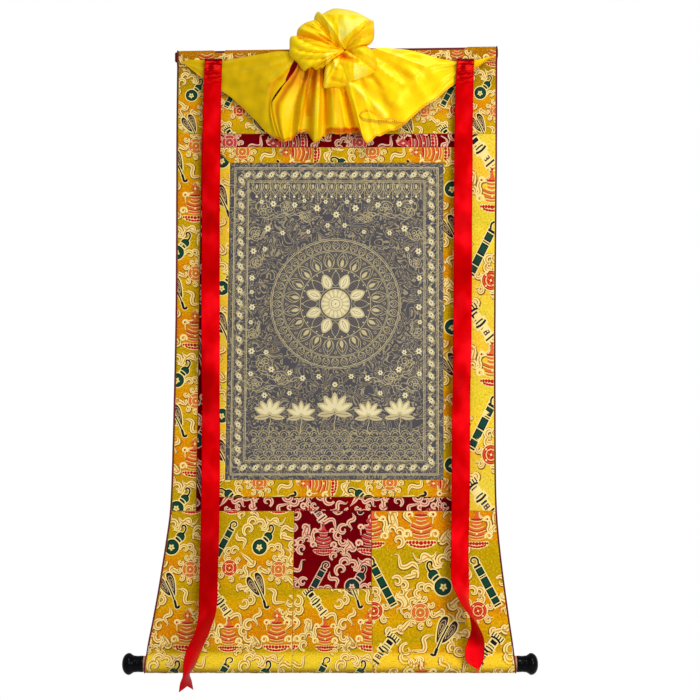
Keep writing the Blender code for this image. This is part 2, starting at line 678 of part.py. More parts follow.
def add_roller(finish):
    shape = bmesh.new()
    bmesh.ops.create_cone(
        shape,
        cap_ends=True,
        segments=ROUND_STEPS,
        radius1=ROLLER_RADIUS,
        radius2=ROLLER_RADIUS,
        depth=ROLLER_RIGHT - ROLLER_LEFT,
    )
    made = new_object("bottom_roller", shape, finish)
    made.location = ((ROLLER_LEFT + ROLLER_RIGHT) / 2, ROLLER_DEPTH, ROLLER_HEIGHT)
    made.rotation_euler.y = math.radians(90)
    made.data.shade_smooth()
    made.data.set_sharp_from_angle(angle=SHARP_ANGLE)


def add_knob(name, x, outward, finish):
    """A turned knob on the roller's end. It is spun about Z and laid along X."""
    shape = bmesh.new()
    points = [shape.verts.new((radius, 0.0, distance)) for distance, radius in KNOB_PROFILE]
    foot = shape.verts.new((0.0, 0.0, 0.0))
    line = [shape.edges.new(pair) for pair in zip([foot, *points], points)]
    bmesh.ops.spin(
        shape,
        geom=[foot, *points, *line],
        cent=(0.0, 0.0, 0.0),
        axis=(0.0, 0.0, 1.0),
        angle=math.tau,
        steps=ROUND_STEPS,
    )
    bmesh.ops.remove_doubles(shape, verts=shape.verts, dist=1e-5)
    bmesh.ops.recalc_face_normals(shape, faces=shape.faces)
    made = new_object(name, shape, finish)
    made.location = (x + outward * SEAM_GAP, ROLLER_DEPTH, ROLLER_HEIGHT)
    made.rotation_euler.y = math.radians(90 * outward)
    made.data.shade_smooth()
    made.data.set_sharp_from_angle(angle=SHARP_ANGLE)


# --- Streamers, tape and veil ---------------------------------------------------------------


def add_streamer(name, table, finish):
    """A satin ribbon that hangs from the top and turns on itself near its end."""
    places = list(range(len(table)))
    rows = []
    for place in spread(0, len(table) - 1, STREAMER_STEPS * (len(table) - 1)):
        row = RibbonRow(*(smooth_at(places, values, place) for values in zip(*table)))
        turn = math.radians(row.turn)
        across = Vector((math.cos(turn), math.sin(turn), 0.0))
        outward = Vector((math.sin(turn), -math.cos(turn), 0.0))
        middle = Vector((row.x, row.y + CLOTH, row.z))
        line = []
        for u in spread(-1.0, 1.0, STREAMER_COLUMNS):
            line.append(middle + across * (u * row.width / 2) + outward * (row.cup * (1 - u * u)))
        rows.append(line)
    add_sheet(name, rows, finish)


def add_tape(finish):
    """The dark red tape that holds the veil up. It shows in the slit beside the pleats."""
    top, bottom, width = (-0.0690, -0.0225), (-0.1205, -0.1045), 0.0130
    rows = []
    for v in spread(0.0, 1.0, 3):
        x, z = mix(top[0], bottom[0], v), mix(top[1], bottom[1], v)
        rows.append([Vector((x + side * width / 2, TAPE_DEPTH, z)) for side in (-1, 1)])
    add_sheet("veil_tape", rows, finish)


def rib_point(rib, v):
    """The point of a rib at v, 0 at its top and 1 at its hem, on the curve through its three."""
    shares = ((1 - v) * (1 - 2 * v), 4 * v * (1 - v), v * (2 * v - 1))
    x, z, lift = (
        sum(share * place[k] for share, place in zip(shares, (rib.top, rib.middle, rib.hem)))
        for k in range(3)
    )
    return Vector((x, VEIL_DEPTH - max(lift, 0.0002), z))


def add_veil(finish):
    """One sheet of silk: two swags with pleats between them, gathered into the rosette."""
    places = list(range(len(RIBS)))
    ribs = [[rib_point(rib, v) for v in spread(0.0, 1.0, VEIL_ROWS)] for rib in RIBS]
    rows = []
    for r in range(VEIL_ROWS + 1):
        row = []
        for place in spread(0, len(RIBS) - 1, RIB_STEPS * (len(RIBS) - 1)):
            row.append(Vector(smooth_at(places, [rib[r][k] for rib in ribs], place) for k in range(3)))
            row[-1].x += SLIT_DRAWN[r] * ease(1.25 - abs(place - SLIT_RIB - 0.5) / 2.5)
            row[-1].y = min(row[-1].y, VEIL_DEPTH - 0.0002)
        rows.append(row)
    slit = [(r, SLIT_RIB * RIB_STEPS + c) for r in range(SLIT_ROWS) for c in range(RIB_STEPS)]
    made = add_sheet("veil", rows, finish, skip=slit)
    join = made.modifiers.new("Rosette", "BOOLEAN")
    join.operation = "UNION"
    join.solver = "EXACT"
    join.object = rosette_body(finish)


def rosette_body(finish):
    """The gathered middle of the veil: full lobes round a sunken point, flat behind."""
    angles = [-lobe.angle for lobe in LOBES] + [-LOBES[0].angle + 360]
    radii = [lobe.radius for lobe in LOBES] + [LOBES[0].radius]
    fullness = [lobe.fullness for lobe in LOBES] + [LOBES[0].fullness]
    shape = bmesh.new()
    loops = []
    for ring in (*ROSETTE_RINGS, 1.0, *ROSETTE_BACK_RINGS):
        loops.append([])
        behind = len(loops) > len(ROSETTE_RINGS) + 1
        for step in range(ROSETTE_STEPS):
            angle = angles[0] + 360 * step / ROSETTE_STEPS
            reach = smooth_at(angles, radii, angle) * ring
            x = ROSETTE_X + reach * math.cos(math.radians(-angle))
            z = ROSETTE_Z + reach * math.sin(math.radians(-angle))
            full = smooth_at(angles, fullness, angle)
            bulge = ROSETTE_BULGE * mix(ROSETTE_PIT, full, ease(ring / 0.55)) * swell(ring)
            y = ROSETTE_BACK if behind else ROSETTE_BACK - ROSETTE_FOOT - bulge
            loops[-1].append(shape.verts.new((x, y, z)))
    for outer, inner in zip(loops, loops[1:]):
        for k in range(ROSETTE_STEPS):
            n = (k + 1) % ROSETTE_STEPS
            shape.faces.new((outer[k], outer[n], inner[n], inner[k]))
    shape.faces.new(loops[0][::-1])
    shape.faces.new(loops[-1])
    bmesh.ops.recalc_face_normals(shape, faces=shape.faces)
    made = new_object("rosette_form", shape, finish)
    made.data.shade_smooth()
    made.hide_render = True
    made.display_type = "WIRE"
    return made


def swell(ring):
    """How far a lobe stands forward at a share of its radius: full, then rolling back."""
    return math.sqrt(max(0.0, 1 - ring**3))


# --- The whole scroll --------------------------------------------------------------------------


def build():
    for old in list(bpy.data.objects):
        bpy.data.objects.remove(old)
    yellow = material("yellow_brocade", (0.66, 0.42, 0.02), 0.45)
    red = material("red_brocade", (0.17, 0.004, 0.008), 0.45)
    dark_red = material("dark_red_cloth", (0.14, 0.004, 0.010), 0.60)
    woven = material("woven_picture", (0.19, 0.18, 0.15), 0.60)
    ribbon = material("red_satin", (0.66, 0.0, 0.004), 0.35)
    silk = material("yellow_silk", (0.88, 0.58, 0.01), 0.40)
    lacquer = material("black_lacquer", (0.008, 0.009, 0.012), 0.30)
    wood = material("plain_wood", (0.35, 0.22, 0.12), 0.60)

    add_lining(dark_red)
    add_top_cut(yellow)
    add_side_strip("brocade_side_left", "left", yellow)
    add_side_strip("brocade_side_right", "right", yellow)
    red_outside = ("red_outer_left", "red_outer_right", SEAM_UNDER_TOP_CUT, SEAM_OVER_SKIRT)
    red_inside = ("red_inner_left", "red_inner_right", SEAM_RED_TOP, SEAM_RED_BOTTOM)
    picture_edge = ("picture_left", "picture_right", PICTURE_TOP, PICTURE_BOTTOM)
    add_frame("red_frame", red_outside, red_inside, red)
    add_frame("inner_frame", red_inside, picture_edge, yellow)
    add_picture(woven)
    add_skirt(yellow, red)
    for side in ("left", "right"):
        add_binding(side, dark_red)
    add_batten(dark_red)
    add_roller(wood)
    add_knob("knob_left", ROLLER_LEFT, -1, lacquer)
    add_knob("knob_right", ROLLER_RIGHT, 1, lacquer)
    add_streamer("streamer_left", LEFT_STREAMER, ribbon)
    add_streamer("streamer_right", RIGHT_STREAMER, ribbon)
    add_tape(dark_red)
    add_veil(silk)


build()
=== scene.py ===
"""A thangka: a woven picture sewn into brocade, hung from a batten with a roller below.

Metres. +Z is up, -Y is the front and Y = 0 is the face of the wall, as in the CAD frame.
"""

import math

import bmesh
import bpy
import numpy as np
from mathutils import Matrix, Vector


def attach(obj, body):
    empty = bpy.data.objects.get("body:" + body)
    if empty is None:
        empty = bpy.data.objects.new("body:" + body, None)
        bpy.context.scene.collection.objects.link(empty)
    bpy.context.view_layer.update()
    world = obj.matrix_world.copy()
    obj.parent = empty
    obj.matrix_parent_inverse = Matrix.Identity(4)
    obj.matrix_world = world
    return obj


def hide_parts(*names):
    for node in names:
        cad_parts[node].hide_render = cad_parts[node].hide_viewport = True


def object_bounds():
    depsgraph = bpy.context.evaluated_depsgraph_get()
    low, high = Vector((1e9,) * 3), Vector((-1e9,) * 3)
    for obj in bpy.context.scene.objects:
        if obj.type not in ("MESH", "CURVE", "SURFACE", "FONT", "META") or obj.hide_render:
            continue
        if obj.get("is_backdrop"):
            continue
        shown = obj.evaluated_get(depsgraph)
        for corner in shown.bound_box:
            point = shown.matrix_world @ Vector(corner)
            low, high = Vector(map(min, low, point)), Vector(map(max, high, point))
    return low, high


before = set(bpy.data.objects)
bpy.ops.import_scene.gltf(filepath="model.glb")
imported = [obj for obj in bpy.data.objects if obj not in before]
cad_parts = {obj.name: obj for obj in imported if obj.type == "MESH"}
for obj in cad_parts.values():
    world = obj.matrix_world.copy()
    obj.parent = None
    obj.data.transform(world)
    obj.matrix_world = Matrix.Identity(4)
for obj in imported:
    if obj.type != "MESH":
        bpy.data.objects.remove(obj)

cad_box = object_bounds()


# === The picture ===========================================================================
# A panel about 40 by 59 cm, woven in pale gold silk on slate. It is the first cut on the
# table: every brocade strip is sewn round it, so the way the whole cloth hangs is set out
# here. The cloth leans out from the batten to the roller with slack waves in it.

CLOTH = 0.0010  # thickness of each cloth
SEAM = 0.0003  # between two cuts that meet
TOP_SEAM = -0.1590  # heights of the seams that run across
RED_TOP, PICTURE_TOP = -0.1838, -0.2130
PICTURE_BOTTOM, RED_BOTTOM = -0.8017, -0.8335
SKIRT_SEAM, DOOR_BOTTOM = -0.8595, -1.0035

BATTEN_FRONT, BATTEN_TOP = -0.0093, -0.0026
TOP_SLOPE = 0.0140  # rise of the top edge for each metre to the right
SLEEVE_FRONT = BATTEN_FRONT - 2 * SEAM - CLOTH  # inner face of the brocade over the batten
CLOSURE = -0.0305  # where brocade and lining meet again under the batten
ROLLER_RADIUS, ROLLER_DEPTH, ROLLER_HEIGHT = 0.0150, -0.0172, -1.1429
CREASE = ROLLER_HEIGHT + 0.0200  # the stitched line over the roller
DEPTH_AT_BATTEN, DEPTH_AT_ROLLER = -0.0062, ROLLER_DEPTH - 0.0002

# The cloth's outer edges, as height, left and right
EDGES = np.array((
    (-1.1640, -0.3562, 0.3346), (-1.1150, -0.3506, 0.3298), (-1.0630, -0.3406, 0.3222),
    (-1.0110, -0.3310, 0.3150), (-0.9590, -0.3225, 0.3082), (-0.9070, -0.3142, 0.3026),
    (-0.8595, -0.3080, 0.2989), (-0.8030, -0.3050, 0.2972), (-0.6540, -0.3012, 0.2963),
    (-0.4680, -0.2978, 0.2968), (-0.1590, -0.2970, 0.2996), (0.0100, -0.2954, 0.3004),
))


def mix(a, b, share):
    return a + (b - a) * share


def ease(share):
    share = np.clip(share, 0.0, 1.0)
    return share * share * (3 - 2 * share)


def smooth_at(places, values, at):
    """The smooth curve through values at places, which rise, read at each of at."""
    places, values = np.asarray(places, float), np.asarray(values, float)
    at = np.clip(at, places[0], places[-1])
    low = np.clip(np.searchsorted(places, at, "right") - 1, 0, len(places) - 2)
    steps = np.arange(len(places))
    before, after = np.maximum(steps - 1, 0), np.minimum(steps + 1, len(places) - 1)
    slopes = (values[after] - values[before]) / (places[after] - places[before])
    span = places[low + 1] - places[low]
    share = (at - places[low]) / span
    square, cube = share**2, share**3
    return (
        (2 * cube - 3 * square + 1) * values[low]
        + (cube - 2 * square + share) * slopes[low] * span
        + (3 * square - 2 * cube) * values[low + 1]
        + (cube - square) * slopes[low + 1] * span
    )


def edge_x(side, z):
    return smooth_at(EDGES[:, 0], EDGES[:, 1 if side == "left" else 2], z)


def hang_depth(x, z):
    """Y of the brocade's inner face between batten and roller."""
    down = (z - CLOSURE) / (CREASE - CLOSURE)
    slack = ease(down / 0.16) * ease((1 - down) / 0.24)
    curl = -0.0022 * np.minimum(abs(x) / 0.300, 1.2) ** 3
    waves = 0.0
    for height, across, along, phase in (
        (0.0012, 1 / 0.90, 1 / 0.41, 0.6), (0.0007, 1 / 0.37, 1 / 0.95, 2.1), (0.00030, 7.0, 11.0, 0.4),
        (0.00022, -13.0, 8.0, 1.9), (0.00014, 19.0, 23.0, 4.0), (0.00010, -27.0, 31.0, 5.2),
    ):
        waves = waves + height * np.sin(math.tau * (x * across + z * along) + phase)
    return mix(DEPTH_AT_BATTEN, DEPTH_AT_ROLLER, down) + slack * (waves + curl)


def folded_line(points, outward):
    """A line of (y, z) as distances along it, the points and their normals."""
    points = np.array(points)
    distance = np.concatenate(([0.0], np.cumsum(np.hypot(*np.diff(points, axis=0).T))))
    ahead = np.gradient(points, distance, axis=0)
    ahead /= np.hypot(*ahead.T)[:, None]
    return distance, points, outward * np.stack((-ahead[:, 1], ahead[:, 0]), 1)


# The inner face over the batten, going up, and round the roller, going down
OVER_BATTEN = folded_line(
    (
        (DEPTH_AT_BATTEN, CLOSURE), (-0.0088, -0.0262), (SLEEVE_FRONT + 0.0003, -0.0228),
        (SLEEVE_FRONT, -0.0200), (SLEEVE_FRONT, -0.0120), (SLEEVE_FRONT, -0.0058), (SLEEVE_FRONT, -0.0040),
        (SLEEVE_FRONT + 0.0003, -0.0028), (SLEEVE_FRONT + 0.0010, -0.0018),
        (SLEEVE_FRONT + 0.0030, -0.0010), (SLEEVE_FRONT + 0.0055, -0.0010), (-0.0030, -0.0010),
    ),
    outward=1,
)
SLEEVE_RADIUS = ROLLER_RADIUS + 2 * SEAM
sleeve_lean = math.acos(SLEEVE_RADIUS / (CREASE - ROLLER_HEIGHT))
ROUND_ROLLER = folded_line(
    [(DEPTH_AT_ROLLER, CREASE)]
    + [
        (ROLLER_DEPTH - SLEEVE_RADIUS * math.sin(a), ROLLER_HEIGHT + SLEEVE_RADIUS * math.cos(a))
        for a in np.linspace(sleeve_lean, math.tau - sleeve_lean, 40)
    ]
    + [(ROLLER_DEPTH + 0.0002, CREASE), (ROLLER_DEPTH + 0.0002, CREASE + 0.0120)],
    outward=-1,
)
TOP_END = CLOSURE + OVER_BATTEN[0][-1]  # the cloth's two ends, measured along itself
SLEEVE_END = CREASE - ROUND_ROLLER[0][-1]


def beyond_fold(folded, beyond):
    """Y and z of a folded line at a distance from its start, and y and z of its normal there."""
    distance, points, normals = folded
    return (np.interp(beyond, distance, values) for values in (*points.T, *normals.T))


def top_rise(x, t):
    """How far the slope of the top edge raises the cloth at (x, t)."""
    return TOP_SLOPE * x * ease((t - TOP_SEAM) / (CLOSURE - TOP_SEAM))


def on_cloth(x, t, lift=0.0):
    """Points that lie lift in front of the brocade's face.

    t is a point's height. It goes on along the cloth over the batten and round the roller.
    """
    x, t, lift = np.broadcast_arrays(*(np.asarray(v, float) for v in (x, t, lift)))
    z = t + top_rise(x, t)
    y = hang_depth(x, t) - CLOTH - lift
    for beyond, folded, slope in ((t - CLOSURE, OVER_BATTEN, TOP_SLOPE), (CREASE - t, ROUND_ROLLER, 0.0)):
        py, pz, ny, nz = beyond_fold(folded, beyond)
        y = np.where(beyond > 0, py + ny * (CLOTH + lift), y)
        z = np.where(beyond > 0, pz + nz * (CLOTH + lift) + slope * x, z)
    return np.stack((x, y, z), -1)


def height_at(t):
    """The real height of the cloth at t, which differs from it on the two rods."""
    return on_cloth(np.zeros_like(t), t)[..., 2]


# The seams beside the picture, as x at TOP_SEAM and at SKIRT_SEAM
SIDE_SEAMS = {
    "red_outer_left": (-0.2490, -0.2595),
    "red_inner_left": (-0.2241, -0.2347),
    "picture_left": (-0.1958, -0.2066),
    "picture_right": (0.1990, 0.1990),
    "red_inner_right": (0.2262, 0.2225),
    "red_outer_right": (0.2507, 0.2470),
}


def seam(name):
    """The line of a seam beside the picture: x at each height."""
    top, bottom = SIDE_SEAMS[name]
    return lambda t: mix(top, bottom, (t - TOP_SEAM) / (SKIRT_SEAM - TOP_SEAM))


class Cut:
    """A cut of cloth. left and right give x at each t; top and bottom are t, or t at each corner."""

    def __init__(self, name, left, right, top, bottom):
        self.name = name
        self.left = lambda t: left(t) + SEAM / 2
        self.right = lambda t: right(t) - SEAM / 2
        self.top = np.zeros(2) + top - SEAM / 2
        self.bottom = np.zeros(2) + bottom + SEAM / 2
        middle = (self.top.mean() + self.bottom.mean()) / 2
        self.width = float(self.right(middle) - self.left(middle))
        self.length = float(self.top.mean() - self.bottom.mean())

    def cloth(self, s, r):
        """(x, t) of the point at share s from left to right and share r from top to bottom."""
        t = mix(mix(*self.top, s), mix(*self.bottom, s), r)
        return mix(self.left(t), self.right(t), s), t

    def sink(self, s, r):
        """How far the face dips towards a seam, where the cloth is turned under."""
        near = np.minimum(np.minimum(s, 1 - s) * self.width, np.minimum(r, 1 - r) * self.length)
        return DIP * np.clip(1 - near / TURN, 0.0, 1.0) ** 2


TURN, DIP = 0.0022, 0.00055  # how far in from a seam the turned edge starts, how deep it dips
CELL = 0.0045  # about how far apart a cloth's points are


def shares(length, size=CELL):
    """Shares from 0 to 1, close together at the two ends, where the edges turn under."""
    rim = np.array((0.0, 0.0007, 0.0014, TURN)) / length
    inner = np.linspace(rim[-1], 1 - rim[-1], max(2, round(length / size)) + 1)
    return np.concatenate((rim[:-1], inner, 1 - rim[:-1][::-1]))


def add_object(name, data):
    made = bpy.data.objects.new(name, data)
    bpy.context.scene.collection.objects.link(made)
    return made


def finish_piece(mesh, finishes, uv=None):
    """An object from a mesh, with its materials and one UV pair for each point."""
    for finish in finishes:
        mesh.materials.append(finish)
    if uv is not None:
        corner = np.empty(len(mesh.loops), dtype=np.int32)
        mesh.loops.foreach_get("vertex_index", corner)
        layer = mesh.uv_layers.new(name="cloth")
        layer.uv.foreach_set("vector", np.asarray(uv, np.float32)[corner].ravel())
    mesh.shade_smooth()
    return add_object(mesh.name, mesh)


def new_piece(name, points, faces, finish, uv=None):
    """An object from arrays of points and faces."""
    mesh = bpy.data.meshes.new(name)
    mesh.from_pydata(points.tolist(), [], faces.tolist())
    return finish_piece(mesh, [finish], uv)


def grid_faces(at):
    """Quads over a grid of numbered points."""
    return np.stack((at[:-1, :-1], at[1:, :-1], at[1:, 1:], at[:-1, 1:]), -1).reshape(-1, 4)


def closed_sheet(name, front, back, uv, finish, bare=None):
    """Cloth with a front and a back face, each a grid of points, closed round its rim.

    bare marks the cells that are left open.
    """
    count = front[..., 0].size
    face = grid_faces(np.arange(count).reshape(front.shape[:2]))
    if bare is not None:
        face = face[~bare.ravel()]
    edges = np.concatenate([np.stack((face[:, k], face[:, (k + 1) % 4]), 1) for k in range(4)])
    codes = edges[:, 0] * count + edges[:, 1]
    a, b = edges[~np.isin(codes, edges[:, 1] * count + edges[:, 0])].T
    walls = np.stack((b, a, a + count, b + count), -1)
    faces = np.concatenate((face, face[:, ::-1] + count, walls))
    points = np.concatenate((front.reshape(-1, 3), back.reshape(-1, 3)))
    made = new_piece(name, points, faces, finish, np.concatenate((uv, uv)).reshape(-1, 2))
    made.data.set_sharp_from_angle(angle=math.radians(50))
    return made


def lay_cut(cut, finish, pattern=None, size=CELL):
    """The cloth of a cut as it hangs, with its edges turned under."""
    s, r = np.meshgrid(shares(cut.width, size), shares(cut.length, size))
    x, t = cut.cloth(s, r)
    front = on_cloth(x, t, -cut.sink(s, r))
    back = on_cloth(x, t, -CLOTH)
    uv = np.stack(pattern.paper(x, t) if pattern else (x, -t), -1)
    return closed_sheet(cut.name + "_cloth", front, back, uv, finish)


def colour(red, green, blue):
    """A colour for the shaders from the 0 to 255 of a colour card."""
    card = (red, green, blue)
    return *(((c / 255 + 0.055) / 1.055) ** 2.4 if c > 10 else c / 3295 for c in card), 1.0


def add_node(tree, kind, settings, inputs):
    """A node with its settings. An input is a value or another node's output."""
    made = tree.nodes.new(kind)
    for name, value in settings.items():
        setattr(made, name, value)
    for socket, value in inputs.items():
        if isinstance(value, bpy.types.NodeSocket):
            tree.links.new(value, made.inputs[socket])
        else:
            made.inputs[socket].default_value = value
    return made


def sums(tree, operation, *values, clamp=False):
    """The output of a Math node."""
    settings = {"operation": operation, "use_clamp": clamp}
    return add_node(tree, "ShaderNodeMath", settings, dict(enumerate(values))).outputs[0]


def blend(tree, share, first, second, way="MIX"):
    """The output of a colour Mix node."""
    made = add_node(tree, "ShaderNodeMix", {"data_type": "RGBA", "blend_type": way}, {0: share})
    for socket, value in ((made.inputs[6], first), (made.inputs[7], second)):
        if isinstance(value, bpy.types.NodeSocket):
            tree.links.new(value, socket)
        else:
            socket.default_value = value
    return made.outputs[2]


def ramp(tree, share, stops):
    """The colour output of a ColorRamp with stops of (place, colour)."""
    made = add_node(tree, "ShaderNodeValToRGB", {}, {0: share})
    elements = made.color_ramp.elements
    while len(elements) < len(stops):
        elements.new(0.5)
    for element, (place, shade) in zip(elements, stops):
        element.position, element.color = place, shade
    return made.outputs[0]


def noise(tree, vector, scale, detail, **more):
    """The output of a Noise Texture node."""
    inputs = {"Vector": vector, "Scale": scale, "Detail": detail, **more}
    return add_node(tree, "ShaderNodeTexNoise", {}, inputs).outputs[0]


def split(tree, vector):
    """The outputs of a Separate XYZ node."""
    return add_node(tree, "ShaderNodeSeparateXYZ", {}, {0: vector}).outputs


def between(tree, value, start, full, amount=1.0):
    """A share that grows from 0 at start to amount at full."""
    inputs = {"Value": value, "From Min": start, "From Max": full, "To Max": amount}
    return add_node(tree, "ShaderNodeMapRange", {}, inputs).outputs[0]


def object_place(tree):
    return add_node(tree, "ShaderNodeTexCoord", {}, {}).outputs["Object"]


def relief(tree, surface, strength, distance, height):
    """Fine relief on a surface, distance high."""
    inputs = {"Strength": strength, "Distance": distance, "Height": height}
    tree.links.new(add_node(tree, "ShaderNodeBump", {}, inputs).outputs[0], surface.inputs["Normal"])


def make_group(name, inputs, outputs):
    """An empty shader node group with number inputs, a Vector, and number outputs."""
    group = bpy.data.node_groups.new(name, "ShaderNodeTree")
    group.interface.new_socket("Vector", in_out="INPUT", socket_type="NodeSocketVector")
    for socket, value in inputs.items():
        made = group.interface.new_socket(socket, in_out="INPUT", socket_type="NodeSocketFloat")
        made.default_value = value
    for socket in outputs:
        group.interface.new_socket(socket, in_out="OUTPUT", socket_type="NodeSocketFloat")
    return group, group.nodes.new("NodeGroupInput"), group.nodes.new("NodeGroupOutput")


def weave_group():
    """Threads side by side, each going under a crossing thread once in Float crossings.

    Height is the relief, Slub the uneven shade along each thread, Fade a slow cloudy one.
    """
    group, given, out = make_group(
        "weave", {"Thread": 0.0004, "Float": 5.0, "Step": 0.4}, ("Height", "Slub", "Fade")
    )
    across, along = (
        sums(group, "DIVIDE", place, given.outputs["Thread"])
        for place in split(group, given.outputs["Vector"])[:2]
    )
    body = sums(group, "ABSOLUTE", sums(group, "SINE", sums(group, "MULTIPLY", across, math.pi)))
    shift = sums(group, "MULTIPLY", sums(group, "FLOOR", across), given.outputs["Step"])
    turn = sums(group, "ADD", sums(group, "DIVIDE", along, given.outputs["Float"]), shift)
    under = sums(group, "COSINE", sums(group, "MULTIPLY", turn, math.tau))
    under = sums(group, "POWER", sums(group, "MULTIPLY_ADD", under, 0.5, 0.5), 3.0)
    height = sums(group, "MULTIPLY", body, sums(group, "MULTIPLY_ADD", under, -0.7, 1.0))
    drawn_out = {0: sums(group, "MULTIPLY", across, 0.9), 1: sums(group, "MULTIPLY", along, 0.05)}
    drawn_out = add_node(group, "ShaderNodeCombineXYZ", {}, drawn_out).outputs[0]
    slub = noise(group, drawn_out, 1.0, 2.0)
    fade = noise(group, given.outputs["Vector"], 9.0, 3.0, Roughness=0.6)
    for socket, value in zip(out.inputs, (height, slub, fade)):
        group.links.new(value, socket)
    return group


WEAVE = weave_group()


def new_material(name, **fixed):
    """A material, its node tree and its shader, with the values that don't vary."""
    made = bpy.data.materials.new(name)
    made.use_nodes = True
    surface = made.node_tree.nodes["Principled BSDF"]
    for socket, value in fixed.items():
        surface.inputs[socket.replace("_", " ")].default_value = value
    return made, made.node_tree, surface


def cloth_material(name, thread, float_length, step, high, rough, **fixed):
    """A woven material: its tree, its shader, the UV output and the weave group's node."""
    fixed = {"Roughness": rough, "Specular_IOR_Level": 0.16, **fixed}
    made, tree, surface = new_material(name, **fixed)
    uv = add_node(tree, "ShaderNodeUVMap", {"uv_map": "cloth"}, {}).outputs[0]
    inputs = {"Vector": uv, "Thread": thread, "Float": float_length, "Step": step}
    weave = add_node(tree, "ShaderNodeGroup", {"node_tree": WEAVE}, inputs)
    relief(tree, surface, 0.6, high, weave.outputs["Height"])
    return made, tree, surface, uv, weave


def shade_cloth(tree, surface, weave, shade, spread=0.25, fade=0.18):
    """Feeds shade to the shader, uneven from thread to thread and over the cloth."""
    for output, amount in (("Slub", spread), ("Fade", fade)):
        low, high = (1 - amount,) * 3 + (1.0,), (1 + amount,) * 3 + (1.0,)
        uneven = blend(tree, weave.outputs[output], low, high)
        shade = blend(tree, 1.0, shade, uneven, "MULTIPLY")
    tree.links.new(shade, surface.inputs["Base Color"])


def thread_material(name, shade, rough=0.42, fade=0.10):
    """Coloured thread that lies over the ground of a cloth as a woven figure."""
    made, tree, surface, uv, weave = cloth_material(name, 0.0006, 7.0, 0.37, 0.00012, rough)
    shade_cloth(tree, surface, weave, shade, 0.16, fade)
    return made


LEVEL = 0.00007  # how far each layer of a woven figure stands over the one below


class Drawing:
    """Figures drawn flat, point by point, as strips and patches of coloured thread.

    Points are complex numbers, so that a product turns them and a sum moves them.
    """

    def __init__(self, threads):
        self.threads = list(threads)  # the colours, in the order of the material slots
        self.points, self.faces, self.colours = [], [], []
        self.count = 0

    def take(self, points, faces, thread, level):
        self.points.append(np.stack((points.real, points.imag, np.full(len(points), level)), 1))
        self.faces.append(np.asarray(faces) + self.count)
        self.colours.append(np.full(len(faces), self.threads.index(thread)))
        self.count += len(points)

    def strip(self, line, width, thread, level, closed=False):
        """A strip along a line of points. width is one number or one for each point."""
        ahead = np.roll(line, -1) - np.roll(line, 1)
        if not closed:
            ahead[0], ahead[-1] = line[1] - line[0], line[-1] - line[-2]
        side = 1j * ahead / np.maximum(abs(ahead), 1e-9) * np.asarray(width) / 2
        k = np.arange(len(line) if closed else len(line) - 1)
        n, count = (k + 1) % len(line), len(line)
        faces = np.stack((k, n, n + count, k + count), 1)
        self.take(np.concatenate((line + side, line - side)), faces, thread, level)

    def patch(self, outline, thread, level, small=9.0):
        """A filled shape, in rings round its middle: one if it is small, and two or three if not."""
        middle, count = outline.mean(), len(outline)
        rings = min(3, 1 + int(abs(outline - middle).max() / small))
        points = [middle + (outline - middle) * (ring / rings) for ring in range(rings, 0, -1)]
        points.append(np.full(count, middle) + (outline - middle) * 0.02)
        k = np.arange(count)
        n = (k + 1) % count
        faces = [np.stack((k, n, n + count, k + count), 1) + ring * count for ring in range(rings)]
        self.take(np.concatenate(points), np.concatenate(faces), thread, level)

    def arrays(self):
        return tuple(np.concatenate(part) for part in (self.points, self.faces, self.colours))


def curve(points, spacing, closed=False):
    """A smooth line through (across, down) points, with a point about every spacing."""
    knots = np.array([complex(*point) for point in points])
    if closed:
        knots = np.concatenate((knots[-2:], knots, knots[:3]))
    steps = np.arange(len(knots), dtype=float)
    first, last = (2, len(knots) - 3) if closed else (0, len(knots) - 1)
    length = abs(np.diff(knots[first : last + 1])).sum()
    at = np.linspace(first, last, max(4, math.ceil(length / spacing)) + 1)
    line = smooth_at(steps, knots.real, at) + 1j * smooth_at(steps, knots.imag, at)
    return line[:-1] if closed else line


def circle(middle, radius, count=28):
    return middle + radius * np.exp(1j * np.linspace(0, math.tau, count, endpoint=False))


def leaf(length, width, tip=0.86):
    """A closed pointed leaf that lies from 0 along +x."""
    half = [(0, 0), (0.16, 0.34), (0.48, 0.5), (tip, 0.25), (1.0, 0.0)]
    half = curve([(a * length, b * width) for a, b in half], length / 9)
    return np.concatenate((half, half.conj()[-2:0:-1]))


def curl(radius, turns, start=0.0, inner=0.18, count=26):
    """A spiral that winds in from its rim at angle start."""
    share = np.linspace(0.0, 1.0, count)
    return radius * mix(1.0, inner, share) * np.exp(1j * (start + math.tau * turns * share))


# Where the cloth bends sharply along its width, above the roller and over the batten
BENDS = (
    *(CREASE - below for below in (0.0, 0.0012, 0.0036, 0.007)),
    *(CLOSURE + above for above in (0.0, 0.006, 0.010)),
)
NEARBY = 0.02  # figures farther than this outside a cut are left out before it is clipped


def cut_along(shape, at, away, clear):
    """Splits the faces on the line through at that is square to away, and may drop that side."""
    geometry = [*shape.verts, *shape.edges, *shape.faces]
    bmesh.ops.bisect_plane(
        shape, geom=geometry, dist=1e-6, plane_co=at, plane_no=Vector(away), clear_outer=clear
    )


